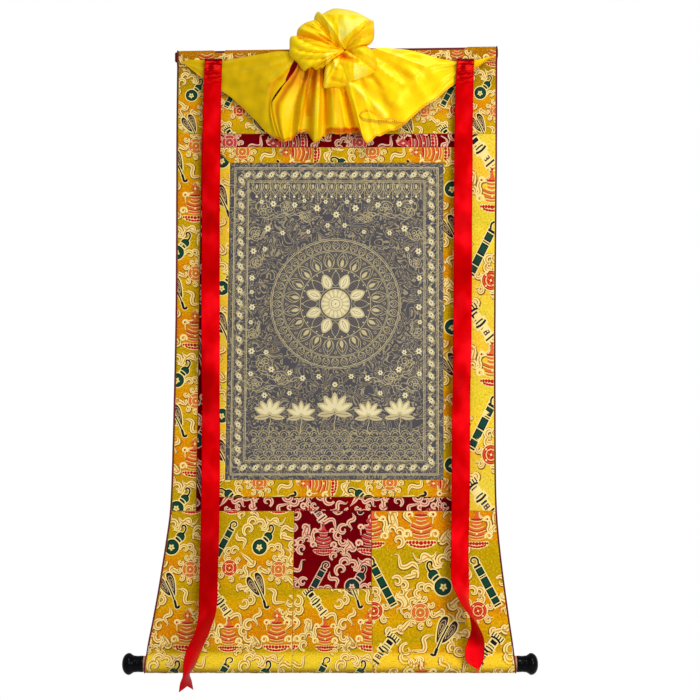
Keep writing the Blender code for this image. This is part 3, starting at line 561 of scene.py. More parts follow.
def lay_figures(name, cut, drawing, finishes, place, margin=0.0006):
    """Woven figures on a cut: the drawing, clipped at the seams and laid on the cloth.

    place turns the drawing's points into (x, t).
    """
    points, faces, threads = drawing
    x, t = place(points[:, 0], points[:, 1])
    s = (x - cut.left(t)) / (cut.right(t) - cut.left(t))
    flat = np.stack((s * cut.width, t, points[:, 2] * LEVEL), 1)
    near = (abs(flat[:, 0] - cut.width / 2) < cut.width / 2 + NEARBY) & (
        (t < cut.top.max() + NEARBY) & (t > cut.bottom.min() - NEARBY)
    )
    kept = near[faces].all(1)
    used, faces = np.unique(faces[kept], return_inverse=True)
    shape = bmesh.new()
    corners = [shape.verts.new(point) for point in flat[used].tolist()]
    for face, thread in zip(faces.reshape(-1, 4).tolist(), threads[kept].tolist()):
        shape.faces.new([corners[k] for k in face]).material_index = thread
    for at, away in (
        ((margin, 0.0, 0.0), (-1.0, 0.0, 0.0)), ((cut.width - margin, 0.0, 0.0), (1.0, 0.0, 0.0)),
        ((0.0, cut.top[0] - margin, 0.0), (cut.top[0] - cut.top[1], cut.width, 0.0)),
        ((0.0, cut.bottom[0] + margin, 0.0), (cut.bottom[1] - cut.bottom[0], -cut.width, 0.0)),
    ):
        cut_along(shape, at, away, True)
    for bend in BENDS:
        if cut.bottom.min() < bend < cut.top.max():
            cut_along(shape, (0.0, bend, 0.0), (0.0, 1.0, 0.0), False)
    shape.normal_update()
    for face in shape.faces:
        if face.normal.z < 0:
            face.normal_flip()
    shape.verts.index_update()
    flat = np.array([v.co[:] for v in shape.verts])
    s, t = flat[:, 0] / cut.width, flat[:, 1]
    top, bottom = mix(*cut.top, s), mix(*cut.bottom, s)
    x = mix(cut.left(t), cut.right(t), s)
    laid = on_cloth(x, t, flat[:, 2] - cut.sink(s, (top - t) / (top - bottom)))
    for corner, point in zip(shape.verts, laid.tolist()):
        corner.co = point
    mesh = bpy.data.meshes.new(name)
    shape.to_mesh(mesh)
    shape.free()
    return finish_piece(mesh, finishes, np.stack((x, -t), 1))


PANEL_ACROSS, PANEL_DOWN = 400, 588.7  # the drawing's size in millimetres
HUB = 262j  # the middle of its wheel


def picture_drawing():
    """Rows of blossoms round a lotus wheel, with clouds over it and a pond below.

    Millimetres, across from the panel's middle and down from its top.
    """
    made = Drawing(("gold", "pale", "slate"))

    def line(points, width=0.9, thread="gold", closed=False, at=0j, turn=0.0, level=1):
        run = points if isinstance(points, np.ndarray) else curve(points, 1.8, closed)
        turned = at + run * np.exp(1j * turn)
        made.strip(turned, width, thread, level, closed)

    def fill(outline, at=0j, turn=0.0, thread="pale", level=2):
        made.patch(at + outline * np.exp(1j * turn), thread, level)

    def box(left, top, right, bottom, width=0.9):
        corners = [left + 1j * top, right + 1j * top, right + 1j * bottom, left + 1j * bottom]
        for first, last in zip(corners, corners[1:] + corners[:1]):
            made.strip(np.linspace(first, last, 90), width, "gold", 1)

    def blossom(at, size, petals=6, thread="pale"):
        for k in range(petals):
            fill(leaf(size, size * 0.62), at, math.tau * k / petals, thread)
        fill(circle(0j, size * 0.24, 10), at, 0.0, "slate", 3)

    # Border: two frames with a leafy stem and blossoms between them
    for inset, width in ((9.0, 1.4), (11.5, 0.7), (33.0, 0.7), (35.5, 1.2)):
        edge = PANEL_ACROSS / 2 - inset
        box(-edge, inset, edge, PANEL_DOWN - inset, width)
    corners = [-178 + 22j, 178 + 22j, 178 + 566j, -178 + 566j]
    for first, last, count in zip(corners, corners[1:] + corners[:1], (16, 24, 16, 24)):
        step = (last - first) / count
        ahead = step / abs(step)
        for k in range(count):
            at = first + step * k
            swing = 5.6j * np.sin(np.linspace(0, math.tau, 16))
            made.strip(at + ahead * (np.linspace(0, abs(step), 16) + swing), 0.8, "gold", 1)
            blossom(at + step * 0.5, 5.4, 8)
            fill(leaf(9, 4.0), at + step * 0.16, np.angle(step) + 0.9, "gold")
            fill(leaf(9, 4.0), at + step * 0.80, np.angle(step) - 2.2, "gold")
            fill(circle(0j, 1.7, 8), at, 0.0, "gold")

    # Valance under the top frame: pleated lappets with beads
    for k in range(18):
        at = -158.4 + 17.6 * k + 38j
        line([(0, 0), (1.6, 12), (8.8, 21), (16, 12), (17.6, 0)], 0.9, at=at)
        line([(3.2, 0), (4.6, 10), (8.8, 16), (13, 10), (14.4, 0)], 0.7, at=at)
        fill(leaf(9, 4.6), at + 8.8 + 1.5j, math.pi / 2, "gold")
        fill(circle(0j, 2.2, 10), at + 8.8 + 24.5j)
        line([(17.6, 6), (17.6, 26)], 0.7, at=at)
        fill(circle(0j, 1.4, 8), at + 17.6 + 28j, 0.0, "gold")

    # The wheel: rings of petals round a filled lotus
    hub = HUB
    rims = ((121, 0.8), (118.4, 1.2), (100, 0.8), (97.8, 0.8), (65.4, 1.0), (30.5, 0.9))
    for radius, width in rims:
        line(circle(0j, radius, 150), width, closed=True, at=hub)
    for k in range(40):
        turn = math.tau * k / 40
        for size in (1.0, 0.72, 0.44):
            outline = 100.8 + leaf(17.0 * size, 14.0 * size)
            line(outline, 0.7, closed=True, at=hub, turn=turn)
    for k in range(20):
        turn = math.tau * (k + 0.5) / 20
        for size in (1.0, 0.78):
            line(66.4 + leaf(31 * size, 20 * size), 0.8, closed=True, at=hub, turn=turn)
        fill(68.5 + leaf(15, 7.0), hub, turn, "gold")
        line([(84, 0), (95.5, 0)], 0.7, at=hub, turn=turn)
        line(91 + curl(3.4, 1.1, math.pi, count=16), 0.7, at=hub, turn=turn + 0.157)
    for k in range(32):
        fill(circle(0j, 1.5, 8), hub + 62.2 * np.exp(1j * math.tau * k / 32), 0.0, "gold")
    for k in range(8):
        turn = math.tau * (k + 0.5) / 8
        fill(29 + leaf(30, 21), hub, turn, "gold", 2)
        fill(31.5 + leaf(24, 14), hub, turn, "pale", 3)
        for side in (-1, 1):
            line([(34, 0), (42, 2.2 * side), (51, 1.2 * side)], 0.6, "slate", at=hub, turn=turn, level=4)
        line(33 + leaf(28, 15), 0.8, closed=True, at=hub, turn=turn + math.tau / 16)
    fill(circle(0j, 27, 40), hub, 0.0, "gold", 2)
    for k in range(16):
        fill(13 + leaf(13.4, 5.4), hub, math.tau * k / 16, "pale", 3)
    fill(circle(0j, 11.5, 24), hub, 0.0, "pale", 3)
    line(circle(0j, 8.2, 24), 0.8, "slate", True, hub, level=4)
    blossom(hub, 6.2, 8, "gold")

    # Clouds with trailing ends in the corners and beside the wheel
    def cloud(at, turn=0.0, size=1.0, mirror=False):
        parts = [curl(11, 1.5, 2.6), 15 - 3j + curl(9, 1.4, 2.2), 6 - 12j + curl(10, 1.5, 1.6)]
        parts.append(curve([(-6, 9), (8, 12), (22, 7), (30, 11), (44, 6), (58, 10)], 1.8))
        parts.append(curve([(2, 14), (14, 16.5), (27, 12.5), (38, 15), (50, 12)], 1.8))
        parts.append(curve([(-10, -4), (-14, -16), (-2, -24), (10, -24), (21, -18), (26, -6)], 1.8))
        for part in parts:
            part = part.conj() if mirror else part
            made.strip(at + part * size * np.exp(1j * turn), 0.9, "gold", 1)

    for side in (-1, 1):
        for x, y, turn, size in (
            (138, 92, 0.1, 0.86), (150, 138, 0.9, 0.66), (138, 374, -0.6, 0.80), (150, 416, 0.2, 0.72),
            (96, 88, 0.0, 0.66), (60, 104, 0.3, 0.50), (104, 404, 0.3, 0.66), (148, 190, 1.2, 0.50),
            (149, 320, 1.5, 0.50),
        ):
            # The left side mirrors the right one: turned half way round and over
            at = side * x + 1j * y
            cloud(at, math.pi + turn if side > 0 else -turn, size, mirror=side > 0)
        for x, y, size in (
            (36, 84, 5.0), (78, 78, 4.4), (118, 76, 4.6), (128, 122, 5.0), (100, 130, 3.8),
            (154, 164, 4.6), (133, 160, 3.6), (156, 214, 4.4), (156, 240, 3.4), (155, 268, 4.6),
            (157, 296, 3.6), (155, 350, 4.8), (128, 352, 3.8), (118, 384, 4.6), (84, 390, 4.0),
            (60, 400, 4.6), (30, 397, 4.0), (156, 392, 4.0), (130, 432, 4.4), (84, 428, 3.8),
            (16, 116, 3.8), (52, 128, 3.4), (140, 72, 3.4), (60, 70, 3.2), (20, 72, 3.4),
        ):
            blossom(side * x + 1j * y, 1.35 * size, 6)
    blossom(96j, 6.4, 8)
    blossom(412j, 5.4, 8)

    # Pond: lotus flowers on their leaves over rows of scalloped water
    flowers = ((462j, 1.2), (-62 + 470j, 0.95), (62 + 470j, 0.95), (-120 + 468j, 1.05), (120 + 468j, 1.05))
    for at, size in flowers:
        for lean in (-1.15, -0.6, 0.6, 1.15, 0.0):
            fill(leaf(30 * size, 13 * size), at, lean - math.pi / 2, "gold", 2)
            fill(4 * size + leaf(21 * size, 7 * size), at, lean - math.pi / 2, "pale", 3)
        for turn in (0.12, math.pi - 0.12):
            fill(leaf(27 * size, 10 * size), at + 3j, turn, "gold", 2)
            line([(2, 0), (22 * size, 0)], 0.7, "slate", at=at + 3j, turn=turn, level=4)
        line([(0, 3), (1.5, 12), (-1, 22), (0, 34)], 1.2, at=at)
    for row in range(5):
        for k in range(-8, 9):
            at = (k + (row % 2) / 2) * 18.6 + 1j * (552 - row * 11.4)
            if abs(at.real) > 160:
                continue
            for radius in (9.3, 5.0):
                made.strip(at + radius * np.exp(1j * np.linspace(math.pi, math.tau, 14)), 0.8, "gold", 1)
    return made.arrays()


picture = Cut("picture_panel", seam("picture_left"), seam("picture_right"), PICTURE_TOP, PICTURE_BOTTOM)


def on_picture(across, down):
    return picture.cloth(across / PANEL_ACROSS + 0.5, down / PANEL_DOWN)


slate, tree, surface, uv, weave = cloth_material("slate_silk", 0.0005, 2.0, 0.5, 0.00012, 0.55)
# A lattice of fine gold lines inside the wheel
LATTICE = 0.0056
x, y = split(tree, uv)[:2]
diagonals = []
for way in ("ADD", "SUBTRACT"):
    wave = sums(tree, "SINE", sums(tree, "MULTIPLY", sums(tree, way, x, y), math.pi / LATTICE))
    diagonals.append(sums(tree, "ABSOLUTE", wave))
lines = sums(tree, "LESS_THAN", sums(tree, "MINIMUM", *diagonals), 0.20)
lines = sums(tree, "MULTIPLY", lines, 0.4)
hub = (0.0, HUB.imag / 1000 - PICTURE_TOP, 0.0)
from_hub = add_node(tree, "ShaderNodeVectorMath", {"operation": "DISTANCE"}, {0: uv, 1: hub})
wheel = sums(tree, "LESS_THAN", from_hub.outputs["Value"], 0.1205)
# Gold cloud tracery round the wheel: level lines of a slow noise
billows = noise(tree, uv, 44.0, 1.0, Distortion=1.4)
level_lines = sums(tree, "ABSOLUTE", sums(tree, "SINE", sums(tree, "MULTIPLY", billows, 24.0)))
tracery = sums(tree, "MULTIPLY", sums(tree, "LESS_THAN", level_lines, 0.46), 0.85)
gilt = blend(tree, wheel, tracery, lines)
ground = blend(tree, gilt, colour(76, 73, 78), colour(162, 147, 112))
shade_cloth(tree, surface, weave, ground, 0.20, 0.12)

PICTURE_THREADS = [
    thread_material("pale_gold_silk", colour(196, 180, 132), 0.40),
    thread_material("light_gold_silk", colour(226, 212, 164), 0.40),
    thread_material("dark_slate_silk", colour(58, 56, 66), 0.50),
]
panel = lay_cut(picture, slate, size=1.6 * CELL)
woven_picture = lay_figures("picture_figures", picture, picture_drawing(), PICTURE_THREADS, on_picture)
for piece in (panel, woven_picture):
    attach(piece, "root")
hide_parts("picture_panel")


# === Brocade ===============================================================================
# Jacquard silk satin with figures floated over a ground that changes from olive to gold to
# orange as the weft runs on. The figures are the old treasure emblems: gourd, flute, fan,
# clappers, roundels and temple stands among clouds. One repeat is drawn here once, on the
# weaver's point paper, and woven into every yellow and red strip.

SQUARE = 0.00186  # a square of the point paper
ACROSS, DOWN = 88, 130  # squares in one repeat


class Lay:
    """How the repeat lies on a cut: where its corner is and which way it runs."""

    def __init__(self, x, t, scale=1.0, mirror=1, turned=False, fan=0.0, stretch=1.0):
        self.corner, self.square, self.mirror = (x, t), SQUARE * scale, mirror
        self.turned, self.fan, self.stretch = turned, fan, stretch

    def spread(self, t):
        return 1 + self.fan * np.maximum(SKIRT_SEAM - t, 0.0)

    def cloth(self, u, v):
        """(x, t) of a place on the point paper, in squares across and down."""
        a, b = u * self.mirror * self.square, -v * self.square * self.stretch
        if self.turned:
            a, b = -b, a
        x, t = self.corner[0] + a, self.corner[1] + b
        return x * self.spread(t), t

    def paper(self, x, t):
        """The place on the point paper, in metres, that lies at (x, t)."""
        a, b = x / self.spread(t) - self.corner[0], t - self.corner[1]
        if self.turned:
            a, b = b, -a
        scale = SQUARE / self.square
        return a * scale * self.mirror, -b * scale / self.stretch


THREAD_NAMES = ("cream", "ochre", "brown", "green", "navy", "crimson", "salmon", "umber")


def brocade_repeat():
    """One repeat of the figures: points, faces and the thread of each face."""
    made = Drawing(THREAD_NAMES)

    def taper(count, width, start=0.3, end=0.2):
        share = np.linspace(0.0, 1.0, count)
        return width * mix(start, 1.0, ease(share / 0.22)) * mix(1.0, end, ease(share / 0.55 - 0.82))

    def scroll(line, at=0j, width=2.9, start=0.35, end=0.25):
        """A cloud's band: a brown rim, cream silk, and an ochre line down its middle. The rim is shifted a
        little off the band, so on one side it also paints a shadow.
        """
        line = at + line
        count = len(line)
        # The brown rim is a woven outline, shifted off the band as a painted shadow on one side
        made.strip(line + 0.25 + 0.35j, taper(count, width + 1.5, start, end), "brown", 1)
        made.strip(line, taper(count, width, start, end), "cream", 2)
        made.strip(line, taper(count, width * 0.24, 0.1, 0.1), "ochre", 3)

    def run(*points):
        return curve(points, 1.1)

    def cloud(at, turn, size, mirror):
        """A three-lobed cloud head with a waving tail."""
        for part in (
            curl(6.4, 0.95, 2.4, 0.30),
            6.8 - 5.6j + curl(5.6, 0.9, 2.9, 0.30),
            13.4 - 0.4j + curl(5.2, 0.9, 3.6, 0.30),
            run((12, 4), (17, 6), (21, 2), (26, 1), (30, 5), (35, 6), (40, 2)),
        ):
            part = part.conj() if mirror else part
            scroll(part * size * 1.12 * np.exp(1j * turn), at, 4.2 * size**0.5, 0.6)

    def comma(at, turn, size, mirror):
        """A fat curled drop."""
        part = np.concatenate((run((-11, -9), (-7, -6), (-2, -3), (3.2, 1)), curl(4.4, 0.8, -0.6) + 0.2j))
        part = part.conj() if mirror else part
        scroll(part * size * np.exp(1j * turn), at, 4.0, 0.2, 0.5)

    def ribbon(at, turn, size, mirror):
        """A free ribbon that waves and tapers at both its ends."""
        part = run((-15, 3), (-10, -2), (-5, -3), (-1, 2), (4, 4), (8, -1), (11, -5), (15, -4))
        part = part.conj() if mirror else part
        scroll(part * size * np.exp(1j * turn), at, 3.9, 0.15, 0.15)

    def disc(at, radius, thread, level, count=22):
        made.patch(circle(at, radius, count), thread, level)

    def ring(at, radius, width, thread, level, count=26):
        made.strip(circle(at, radius, count), width, thread, level, closed=True)

    # Gourd: two green bulbs with navy rims, a blossom, a banded neck and a hooked stem
    at, ahead = 45.2 + 26.2j, (8.2 - 9.6j) / abs(8.2 - 9.6j)
    stem = at + ahead * run((15, 0), (18.5, 0.2), (21.6, -0.8), (23.2, -3.4), (21.8, -5.6), (19.8, -4.6))
    made.strip(stem, 2.9, "cream", 4)
    bulbs = (at, at + 12.6 * ahead)
    for middle, radius in zip(bulbs, (8.3, 5.3)):
        disc(middle, radius, "cream", 4)
    made.strip(at + ahead * np.linspace(7.0, 10.0, 4), 9.0, "cream", 4)
    for middle, radius in zip(bulbs, (7.2, 4.4)):
        disc(middle, radius, "navy", 5)
        disc(middle, radius - 1.0, "green", 6)
    made.strip(stem, taper(len(stem), 1.6, 1.6, 1.0), "navy", 5)
    for reach, wide in ((6.1, 4.3), (9.6, 3.6)):
        bow = at + ahead * (reach + 1.4 * np.cos(np.linspace(-1, 1, 9)) + 1j * wide * np.linspace(-1, 1, 9))
        made.strip(bow, 0.95, "cream", 7)
    made.strip(at + ahead * (8.9 + 1j * np.linspace(-3.2, 3.2, 6)), 1.3, "navy", 6)
    for k in range(5):
        made.patch(at - 0.6 * ahead + leaf(3.4, 2.3) * np.exp(1j * (math.tau * k / 5 + 0.3)), "cream", 7, 1)
    disc(at - 0.6 * ahead, 0.9, "ochre", 8, 8)

    # Flute: a green pipe with navy joints and cream rings, and a hooked mouth
    top, foot = 16.6 + 8.6j, -1.4 + 41.6j
    ahead = (foot - top) / abs(foot - top)
    length = abs(foot - top)

    def pipe(a, b, count, wide, thread, level):
        made.strip(top + ahead * np.linspace(a, b, count), wide, thread, level)

    pipe(-1.2, length + 1.2, 34, 8.0, "cream", 4)
    pipe(0, length, 34, 6.2, "navy", 5)
    for a, b in ((2.8, 8.0), (12.6, 19.6), (22.2, 28.2), (30.6, 34.4)):
        pipe(a, b, 12, 4.6, "green", 6)
    for a in (2.0, 9.2, 10.9, 20.9, 29.4, 35.4):
        pipe(a, a + 0.8, 2, 6.4, "cream", 7)
    hook = top + ahead * run((0, 1.5), (-3.5, 2.8), (-6.2, 1.4), (-6.8, -1.4), (-4.6, -3.0), (-2.4, -1.6))
    made.strip(hook, 3.0, "cream", 4)
    made.strip(hook, taper(len(hook), 1.5, 1.0, 0.7), "navy", 5)

    # Roundels: one orange-red and one paler, with a curled device inside
    for at, field, mark in ((15.5 + 46j, "salmon", "crimson"), (64.3 + 47.4j, "ochre", "salmon")):
        disc(at, 8.0, "cream", 4)
        disc(at, 7.3, mark, 5)
        disc(at, 6.4, field, 6)
        ring(at, 5.2, 0.9, mark, 7)
        ring(at, 4.1, 0.6, "cream", 7)
        for k in range(4):
            turn = 1j**k
            made.strip(at + turn * (2.2 + 0.4j + curl(1.9, 0.9, 1.2, count=12)), 0.9, mark, 8)
            made.patch(at + turn * (5.7 + circle(0j, 0.8, 8)) * np.exp(0.785j), "cream", 8, 1)
        disc(at, 1.0, "cream", 9, 8)

    # Fan: two long dark lobes, a handle between them and a hooked end
    at, ahead = 44.5 + 65j, (10.5 + 20j) / abs(10.5 + 20j)
    for side, reach in ((-1, 9.6), (1, 7.4)):
        wing = run(
            (reach, 2.0), (4, 4.6), (-2, 6.8), (-8, 7.9), (-12.8, 6.4), (-13.4, 2.8), (-6, 1.1), (4, 0.9)
        )
        middle = wing.mean()
        shrunk = lambda share: middle + (wing - middle) * share
        placed = lambda line: at + ahead * (line if side > 0 else line.conj())
        made.strip(placed(wing), 2.4, "cream", 4, closed=True)
        made.patch(placed(wing), "navy", 5)
        made.patch(placed(shrunk(0.78)), "umber", 6)
        made.strip(placed(shrunk(0.62)), 0.3, "cream", 7, closed=True)
        made.strip(placed(shrunk(0.30)), 0.3, "cream", 7, closed=True)
        made.strip(placed(run((5, 3.0), (-2, 4.4), (-9, 5.2))), 0.4, "navy", 7)
    handle = at + ahead * run((-8, 0), (4, -0.2), (10, 0.2), (14, 0.4))
    made.strip(handle, 3.0, "cream", 6)
    made.strip(handle, 1.3, "navy", 7)
    hook = at + ahead * run((13, 0.4), (16, 0.8), (19.5, 1.6), (20.6, -0.2), (19.8, -1.8))
    made.strip(hook, 4.0, "cream", 6)
    made.strip(hook, 2.4, "navy", 7)

    # Clappers: dark and green bars across a staff, fringed at the upper end
    at, ahead = 7.0 + 78j, 0.6 + 0.8j

    def bar(a, b, wide, thread, level=5, bow=0.0):
        aside = np.linspace(-1, 1, 7)
        made.strip(at + ahead * ((a + b) / 2 + bow * aside**2 + 1j * wide / 2 * aside), b - a, thread, level)

    for a, b, wide in (
        (-16.0, -10.0, 13.0), (-11.0, -2.6, 8.2), (-3.4, 3.4, 11.6), (2.6, 11.4, 7.8), (11.0, 15.4, 10.6)
    ):
        bar(a, b, wide, "cream", 4)
    for a, b, wide, thread, bow in (
        (-12.4, -10.8, 9.6, "navy", 1.2), (-9.4, -6.2, 5.6, "navy", 0.0), (-4.8, -4.0, 6.4, "navy", 0.4),
        (-2.6, -1.4, 7.0, "green", 0.4), (0.4, 2.1, 9.8, "navy", -0.9), (3.7, 5.4, 5.6, "green", 0.0),
        (6.6, 10.0, 5.0, "umber", 0.0), (12.4, 13.8, 8.6, "navy", 0.0),
    ):
        bar(a, b, wide, thread, bow=bow)
    for aside in (-4.8, -2.4, 0.0, 2.4, 4.8):
        made.strip(at + ahead * (np.linspace(-15.4, -11.6, 3) + 1j * aside), 1.0, "navy", 5)
    for aside in (-1.2, 1.2):
        made.patch(at + ahead * (8.3 + 1j * aside + circle(0j, 0.7, 6)), "cream", 6, 1)

    # Stands: bowed tiers of salmon and cream silk over a red dish, a jewel over the taller one
    def stand(at, size, seat):
        for y, half, sag, wide, thread in (
            (-13.4, 2.8, -0.6, 1.4, "salmon"), (-11.6, 4.8, 0.4, 1.5, "crimson"),
            (-10.2, 5.4, 0.8, 0.6, "cream"), (-8.8, 4.6, 1.0, 1.3, "salmon"),
            (-7.2, 4.0, 1.0, 0.6, "cream"), (-5.8, 4.0, 1.2, 1.3, "salmon"), (-3.8, 6.4, 2.2, 0.6, "cream"),
            (-2.4, 7.8, 2.6, 1.2, "salmon"), (-1.2, 8.0, 2.6, 0.6, "crimson"),
            (-0.2, 8.2, 2.4, 0.5, "cream"), (1.2, 7.6, 2.2, 1.3, "salmon"), (2.6, 6.6, 1.6, 0.7, "crimson"),
            (3.4, 6.2, 1.2, 0.5, "cream"), (4.6, 5.2, 0.8, 1.0, "salmon"), (5.8, 6.4, 1.0, 0.5, "cream"),
        ):
            places = ((-half, sag), (-half / 2, sag * 0.3), (0, 0), (half / 2, sag * 0.3), (half, sag))
            line = run(*((x, y - low) for x, low in places))
            made.strip(at + line * size, wide * size, thread, 5)
        made.patch(at + size * (0.6j + circle(0j, 1.0, 8)), "cream", 6, 1)
        for side in (-1, 1):
            for x, y, radius, turns, wide, heart in (
                (9.6, -12.2, 3.0, 1.0, 1.8, "crimson"), (11.2, 2.6, 3.6, 1.2, 1.9, "ochre"),
            ):
                part = curl(radius, turns, 2.6)
                part = x * side + 1j * y + (part if side > 0 else -part.conj())
                made.strip(at + part * size, wide * size, "cream", 4)
                made.patch(at + size * (x * side + 1j * y + circle(0j, 0.9, 8)), heart, 6, 1)
        dish = run(
            (-seat, 8.6), (-seat * 0.82, 7.0), (0, 7.5), (seat * 0.82, 7.0), (seat, 8.6),
            (seat * 0.72, 11.8), (seat * 0.36, 13.4), (0, 13.9), (-seat * 0.36, 13.4), (-seat * 0.72, 11.8),
            (-seat * 0.93, 10.0),
        )
        made.patch(at + dish * size, "cream", 4)
        cells = [(0.0, 9.3, 1.7, 1.5), (0.0, 12.2, 1.5, 0.9)]
        for side in (-1, 1):
            for x, y, wide, high in (
                (0.25, 9.0, 1.3, 1.4), (0.47, 8.9, 1.2, 1.4), (0.68, 8.8, 1.1, 1.3), (0.86, 8.8, 0.9, 1.0),
                (0.20, 12.0, 1.4, 1.0), (0.41, 11.6, 1.3, 1.0), (0.61, 10.9, 1.2, 0.9),
            ):
                cells.append((side * x * seat, y, wide, high))
        for x, y, wide, high in cells:
            cell = circle(0j, 1.0, 10)
            cell = (cell.real * 1.05 * wide + 1.05j * cell.imag * high) * np.exp(-0.05j * x)
            made.patch(at + (x + 1j * y + cell) * size, "crimson", 6, 1)

    stand(16.6 + 112.6j, 0.94, 11.5)
    made.strip(16.6 + 1j * np.linspace(93.0, 100.0, 4), np.array((0.6, 1.2, 2.6, 4.4)), "salmon", 5)
    disc(16.6 + 93.2j, 1.1, "crimson", 6, 8)
    stand(63.6 + 110.6j, 1.08, 12.6)
    for size, thread, level in ((6.4, "salmon", 4), (5.0, "ochre", 5), (3.2, "salmon", 6), (1.8, "cream", 7)):
        made.patch(63.6 + 91j + size * np.array((-0.74, -1j, 0.74, 1j)), thread, level)
    for spot in (-1.8 + 1.4j, 1.8 + 1.4j, -1.8 - 1.4j, 1.8 - 1.4j):
        disc(63.6 + 91j + spot, 0.7, "crimson", 8, 6)

    # Curls round the two roundels
    for at, count, radius, size in ((15.5 + 46j, 6, 11.4, 2.9), (64.3 + 47.4j, 9, 11.8, 2.8)):
        for k in range(count):
            turn = math.tau * (k + 0.35) / count
            part = radius * np.exp(1j * turn) + curl(size, 0.95, turn + 2.2, 0.25, 14)
            scroll(part, at, 2.6, 0.8, 0.5)

    # Clouds, drops and ribbons that fill the ground between them
    clouds = (
        (34 + 10j, -0.35, 0.86, False), (20 + 30j, 2.3, 0.62, True), (58 + 28j, 0.5, 0.60, False),
        (31 + 79j, -1.2, 0.72, True), (76 + 78j, 2.2, 0.78, False), (36 + 100j, 1.5, 0.78, True),
        (83 + 119j, -1.0, 0.72, False), (84 + 22j, 1.9, 0.66, True), (27 + 126j, -0.5, 0.56, False),
    )
    drops = (
        (36 + 41j, 0.1, 0.95, False), (27 + 64j, 2.4, 0.80, False), (80 + 60j, 1.4, 0.80, True),
        (70 + 16j, 2.8, 0.75, False), (2 + 62j, 0.8, 0.66, True), (47 + 48j, -2.0, 0.60, True),
        (45 + 118j, 0.4, 0.70, False), (86 + 98j, -0.6, 0.70, True), (103j, 1.2, 0.62, False),
    )
    ribbons = (
        (76 + 8j, -0.4, 0.86, False), (27 + 20j, 0.9, 0.62, True), (77 + 38j, 1.2, 0.78, False),
        (22 + 92j, 0.4, 0.84, True), (62 + 74j, 0.9, 0.82, False), (44 + 92j, 1.9, 0.58, False),
        (74 + 96j, 1.4, 0.72, True), (59 + 2j, 0.3, 0.62, True), (31 + 50j, 1.9, 0.56, True),
    )
    for figure, spots in ((cloud, clouds), (comma, drops), (ribbon, ribbons)):
        for spot in spots:
            figure(*spot)
    return made.arrays()


def woven_over(cut, lay, repeat):
    """The repeat side by side and row under row, as far as a cut needs it."""
    points, faces, threads = repeat
    s, r = np.meshgrid((0.0, 0.5, 1.0), (0.0, 0.5, 1.0))
    margin = 24.0  # squares, as far as a figure reaches over the edge of the repeat
    across, down = (
        range(math.floor((least - margin) / size), math.ceil((most + margin) / size))
        for least, most, size in (
            (place.min() / SQUARE, place.max() / SQUARE, size)
            for place, size in zip(lay.paper(*cut.cloth(s, r)), (ACROSS, DOWN))
        )
    )
    shifts = [(i * ACROSS, j * DOWN, 0.0) for i in across for j in down]
    count = len(points)
    return (
        np.concatenate([points + shift for shift in shifts]),
        np.concatenate([faces + k * count for k in range(len(shifts))]),
        np.tile(threads, len(shifts)),
    )


def satin_ground(name, bands, dark_fleck_and_shade, bright, spread):
    """The ground of a brocade, in bands of colour down the repeat, with dark and bright flecks, duller over
    the batten, and a painted highlight and painted shade where it rounds the roller.
    """
    made, tree, surface, uv, weave = cloth_material(
        name, 0.0005, 5.0, 0.4, 0.00010, 0.38, Anisotropic=0.35, Specular_Tint=bands[0][1]
    )
    down = sums(tree, "MULTIPLY_ADD", noise(tree, uv, 30.0, 3.0), 0.05, split(tree, uv)[1])
    repeats = sums(tree, "DIVIDE", sums(tree, "SUBTRACT", down, 0.025), DOWN * SQUARE)
    shade = ramp(tree, sums(tree, "FRACT", repeats), bands)
    fleck = noise(tree, uv, 330.0, 5.0, Roughness=0.8)
    # Duller where it goes over the batten; a painted highlight where it rounds the roller, and painted shade
    # underneath it
    height = split(tree, object_place(tree))[2]
    for start, full, amount, shade_of in (
        (-0.100, -0.040, 0.6, dark_fleck_and_shade), (-1.118, -1.128, 0.70, bright), (-1.146, -1.156, 0.90, dark_fleck_and_shade),
    ):
        shade = blend(tree, between(tree, height, start, full, amount), shade, shade_of)
    for side, shade_of in ((1, dark_fleck_and_shade), (-1, bright)):
        share = sums(tree, "MULTIPLY_ADD", fleck, side * spread, -0.5 * side * spread - 0.10, clamp=True)
        shade = blend(tree, share, shade, shade_of)
    shade_cloth(tree, surface, weave, shade, 0.16, 0.12)
    return made


REPEAT = brocade_repeat()
OLIVE, GOLD, ORANGE = colour(184, 148, 4), colour(216, 158, 2), colour(214, 124, 2)
YELLOW_GROUND = satin_ground(
    "yellow_brocade_ground",
    (
        (0.00, OLIVE), (0.13, OLIVE), (0.22, GOLD), (0.33, ORANGE), (0.42, GOLD),
        (0.53, OLIVE), (0.62, GOLD), (0.72, ORANGE), (0.88, ORANGE), (0.97, OLIVE),
    ),
    colour(132, 82, 2),
    colour(250, 216, 50),
    5.0,
)
# A paler ground, painted light: it makes the right side strip and the inner frame's left strip lighter than
# the rest
PALE_GROUND = satin_ground(
    "pale_brocade_ground",
    (
        (0.00, colour(226, 200, 44)), (0.22, colour(240, 202, 44)), (0.33, colour(238, 184, 40)),
        (0.53, colour(230, 204, 56)), (0.72, colour(240, 188, 44)), (1.00, colour(226, 200, 44)),
    ),
    colour(172, 120, 14),
    colour(255, 232, 110),
    5.0,
)
RED_GROUND = satin_ground(
    "red_brocade_ground",
    ((0.0, colour(104, 0, 8)), (0.3, colour(124, 0, 6)), (0.6, colour(98, 0, 10)), (1.0, colour(112, 0, 8))),
    colour(56, 0, 8),
    colour(150, 2, 14),
    3.6,
)
